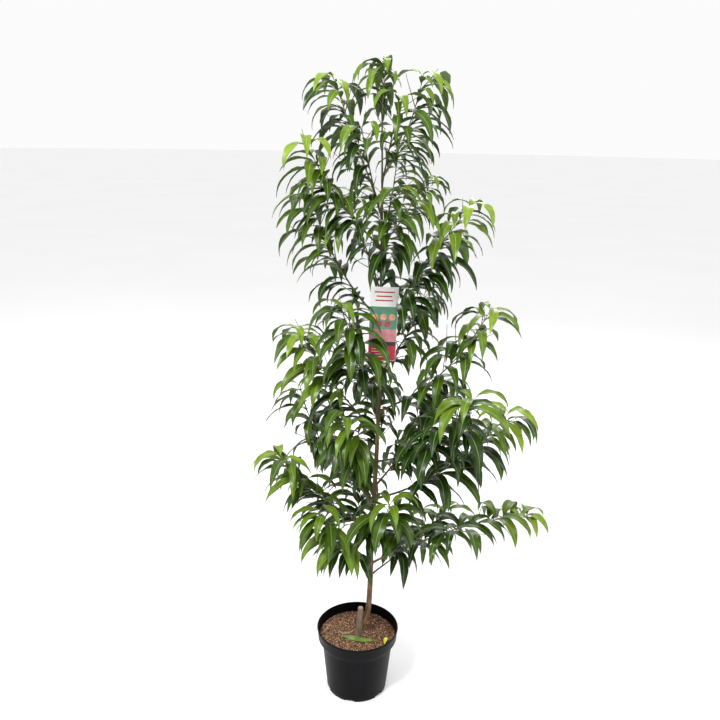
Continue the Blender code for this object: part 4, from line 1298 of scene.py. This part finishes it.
class TREE_OT_card(bpy.types.Operator):
    """Make the plain name card and the strap that holds it"""

    bl_idname = "tree.make_card"
    bl_label = "Name card"

    def execute(self, context):
        width, height, depth = CARD_SIZE
        white = mottled("card_white", (0.80, 0.79, 0.77), 0.38, 60.0, 0.03, bump=0.02)
        back = self.patch(-width / 2, width / 2, 0, height, depth / 2, 12, 28)
        front = self.patch(-width / 2, width / 2, 0, height, -depth / 2, 12, 28)
        finish_piece(self.slab("card_body", front, back, 12, 28, white), "card", "label_card")
        areas = (
            ("card_leaf_band", (0.085, 0.230, 0.150), 0.052, 0.112),
            ("card_rose_band", (0.480, 0.200, 0.215), 0.112, 0.146),
            ("card_dark_band", (0.020, 0.010, 0.014), 0.146, 0.157),
            ("card_red_field", (0.470, 0.012, 0.040), 0.157, height - 0.001),
        )
        for name, colour, top, bottom in areas:
            steps = max(3, round((bottom - top) / 0.006))
            edge = width / 2 - 0.0008
            self.print_patch(name, colour, -edge, edge, top, bottom, INK_LAYER, 12, steps)
        for number in range(3):
            top = 0.012 + 0.011 * number
            reach = (0.026, 0.020, 0.023)[number]
            name = f"card_red_bar_{number}"
            colour = (0.50, 0.02, 0.03)
            self.print_patch(name, colour, -reach, reach, top, top + 0.0035, INK_LAYER, 8, 2)
        for number in range(4):
            top = 0.165 + 0.007 * number
            name = f"card_pale_bar_{number}"
            colour = (0.72, 0.60, 0.60)
            right = 0.004 + 0.004 * number
            self.print_patch(name, colour, -0.028, right, top, top + 0.0018, 2 * INK_LAYER, 8, 1)
        for number in range(5):
            across = -0.022 + 0.011 * number
            down = 0.080 + 0.018 * (number % 2)
            colour = (0.34, 0.045, 0.075) if number % 2 else (0.62, 0.28, 0.16)
            self.disc(f"card_plum_{number}", colour, across, down, 0.0085)
        self.strap()
        return {"FINISHED"}

    def spot(self, across, down, proud):
        """A point of the card: a little bowed from side to side, and hung at its tilt."""
        bow = CARD_BOW * (1 - (2 * across / CARD_SIZE[0]) ** 2)
        local = Vector((across, proud - bow, CARD_SIZE[1] / 2 - down))
        turn = Matrix.Rotation(math.radians(CARD_TILT), 3, "Y")
        middle = (CARD_CENTRE[0], CARD_CENTRE[1] + CARD_BOW / 2, CARD_TOP - CARD_SIZE[1] / 2)
        return turn @ local + Vector(middle)

    def patch(self, left, right, top, bottom, proud, columns, rows):
        points = []
        for row in range(rows + 1):
            for column in range(columns + 1):
                across = left + (right - left) * column / columns
                down = top + (bottom - top) * row / rows
                points.append(self.spot(across, down, proud))
        return points

    def slab(self, name, front, back, columns, rows, made):
        """A closed thin slab between two patches."""
        count = len(front)
        wide = columns + 1
        faces = []
        for row in range(rows):
            for column in range(columns):
                corner = row * wide + column
                faces.append((corner, corner + wide, corner + wide + 1, corner + 1))
                behind = corner + count
                faces.append((behind, behind + 1, behind + wide + 1, behind + wide))
        rim = [column for column in range(wide)]
        rim += [row * wide + columns for row in range(1, rows + 1)]
        rim += [rows * wide + column for column in range(columns - 1, -1, -1)]
        rim += [row * wide for row in range(rows - 1, 0, -1)]
        for corner, after in zip(rim, rim[1:] + rim[:1]):
            faces.append((corner, after, after + count, corner + count))
        return mesh_piece(name, front + back, faces, [made], sharp=30.0)

    def print_patch(self, name, colour, left, right, top, bottom, lift, columns, rows):
        """A printed area, a thin layer on the card's front."""
        proud = -CARD_SIZE[2] / 2
        front = self.patch(left, right, top, bottom, proud - lift, columns, rows)
        back = self.patch(left, right, top, bottom, proud + 0.0001, columns, rows)
        ink = mottled(name + "_ink", colour, 0.34, 55.0, 0.16, bump=0.02)
        finish_piece(self.slab(name, front, back, columns, rows, ink), "card")

    def disc(self, name, colour, across, down, radius):
        """A plain printed round fruit."""
        proud = -CARD_SIZE[2] / 2
        rings = 4
        sides = 28
        points = []
        for lift in (-0.00030, 0.0001):
            points.append(self.spot(across, down, proud + lift))
            for ring in range(1, rings + 1):
                for side in range(sides):
                    turn = 2 * math.pi * side / sides
                    reach = radius * ring / rings
                    place_across = across + reach * math.cos(turn)
                    place_down = down - 1.05 * reach * math.sin(turn)
                    points.append(self.spot(place_across, place_down, proud + lift))
        half = 1 + rings * sides
        faces = []
        for start, flip in ((0, False), (half, True)):
            for side in range(sides):
                after = (side + 1) % sides
                face = (start, start + 1 + side, start + 1 + after)
                faces.append(face[::-1] if flip else face)
                for ring in range(rings - 1):
                    low = start + 1 + ring * sides
                    face = (low + side, low + sides + side, low + sides + after, low + after)
                    faces.append(face[::-1] if flip else face)
        last = 1 + (rings - 1) * sides
        for side in range(sides):
            after = (side + 1) % sides
            faces.append((last + side, half + last + side, half + last + after, last + after))
        ink = mottled(name + "_ink", colour, 0.34, 140.0, 0.30, bump=0.02)
        finish_piece(mesh_piece(name, points, faces, [ink], sharp=50.0), "card")

    def strap(self):
        """A soft plastic loop round the trunk with a tail down to the card."""
        centre = trunk_at(STRAP_LEVEL)
        inner = trunk_radius(STRAP_LEVEL) + 0.0004
        outer = inner + STRAP_THICKNESS
        half = STRAP_WIDTH / 2
        section = []
        for step in range(12):
            turn = 2 * math.pi * step / 12
            radius = (inner + outer) / 2 + (outer - inner) / 2 * math.cos(turn)
            section.append((radius, half * math.sin(turn)))
        sides = 48
        points = []
        for radius, height in section:
            for side in range(sides):
                turn = 2 * math.pi * side / sides
                points.append(centre + Vector((radius * math.cos(turn), radius * math.sin(turn), height)))
        faces = []
        for corner in range(len(section)):
            low = corner * sides
            high = (corner + 1) % len(section) * sides
            for side in range(sides):
                after = (side + 1) % sides
                faces.append((low + side, low + after, high + after, high + side))
        plastic = mottled("strap_plastic", (0.028, 0.110, 0.070), 0.46, 160.0, 0.2)
        finish_piece(mesh_piece("strap_loop", points, faces, [plastic]), "strap", "label_strap")
        front = centre.y - outer
        start = Vector((centre.x, front + 0.0006, STRAP_LEVEL + 0.001))
        card_face = CARD_CENTRE[1] - CARD_BOW / 2 + CARD_SIZE[2] / 2 + 0.0010
        line = smooth_line([
            tuple(start), (centre.x, (front + card_face) / 2, STRAP_LEVEL - 0.006),
            (centre.x, card_face, CARD_TOP - 0.002), (centre.x, card_face, CARD_TOP - 0.012),
        ], 20)
        points, faces = tube(line, [0.0012] * len(line), 10)
        finish_piece(mesh_piece("strap_tail", points, faces, [plastic]), "strap", "label_strap")


class TREE_PT_panel(bpy.types.Panel):
    """Lists the steps that build the tree"""

    bl_idname = "TREE_PT_panel"
    bl_label = "Potted fruit tree"
    bl_space_type = "VIEW_3D"
    bl_region_type = "UI"
    bl_category = "Tree"

    def draw(self, context):
        column = self.layout.column()
        for step in STEPS:
            column.operator(step.bl_idname)
        look = context.scene.tree_settings
        for name in look.bl_rna.properties.keys():
            if name not in ("rna_type", "name"):
                column.prop(look, name)


STEPS = (
    TREE_OT_stage,
    TREE_OT_pot,
    TREE_OT_soil,
    TREE_OT_trunk,
    TREE_OT_limbs,
    TREE_OT_leaves,
    TREE_OT_card,
)


def register():
    bpy.utils.register_class(TreeSettings)
    bpy.types.Scene.tree_settings = PointerProperty(type=TreeSettings)
    for step in STEPS:
        bpy.utils.register_class(step)
    bpy.utils.register_class(TREE_PT_panel)


def unregister():
    bpy.utils.unregister_class(TREE_PT_panel)
    for step in reversed(STEPS):
        bpy.utils.unregister_class(step)
    del bpy.types.Scene.tree_settings
    bpy.utils.unregister_class(TreeSettings)


def main():
    register()
    bpy.ops.tree.make_stage()
    bpy.ops.tree.make_pot()
    bpy.ops.tree.make_soil()
    bpy.ops.tree.make_trunk()
    bpy.ops.tree.make_limbs()
    bpy.ops.tree.make_leaves()
    bpy.ops.tree.make_card()


if __name__ == "__main__":
    main()
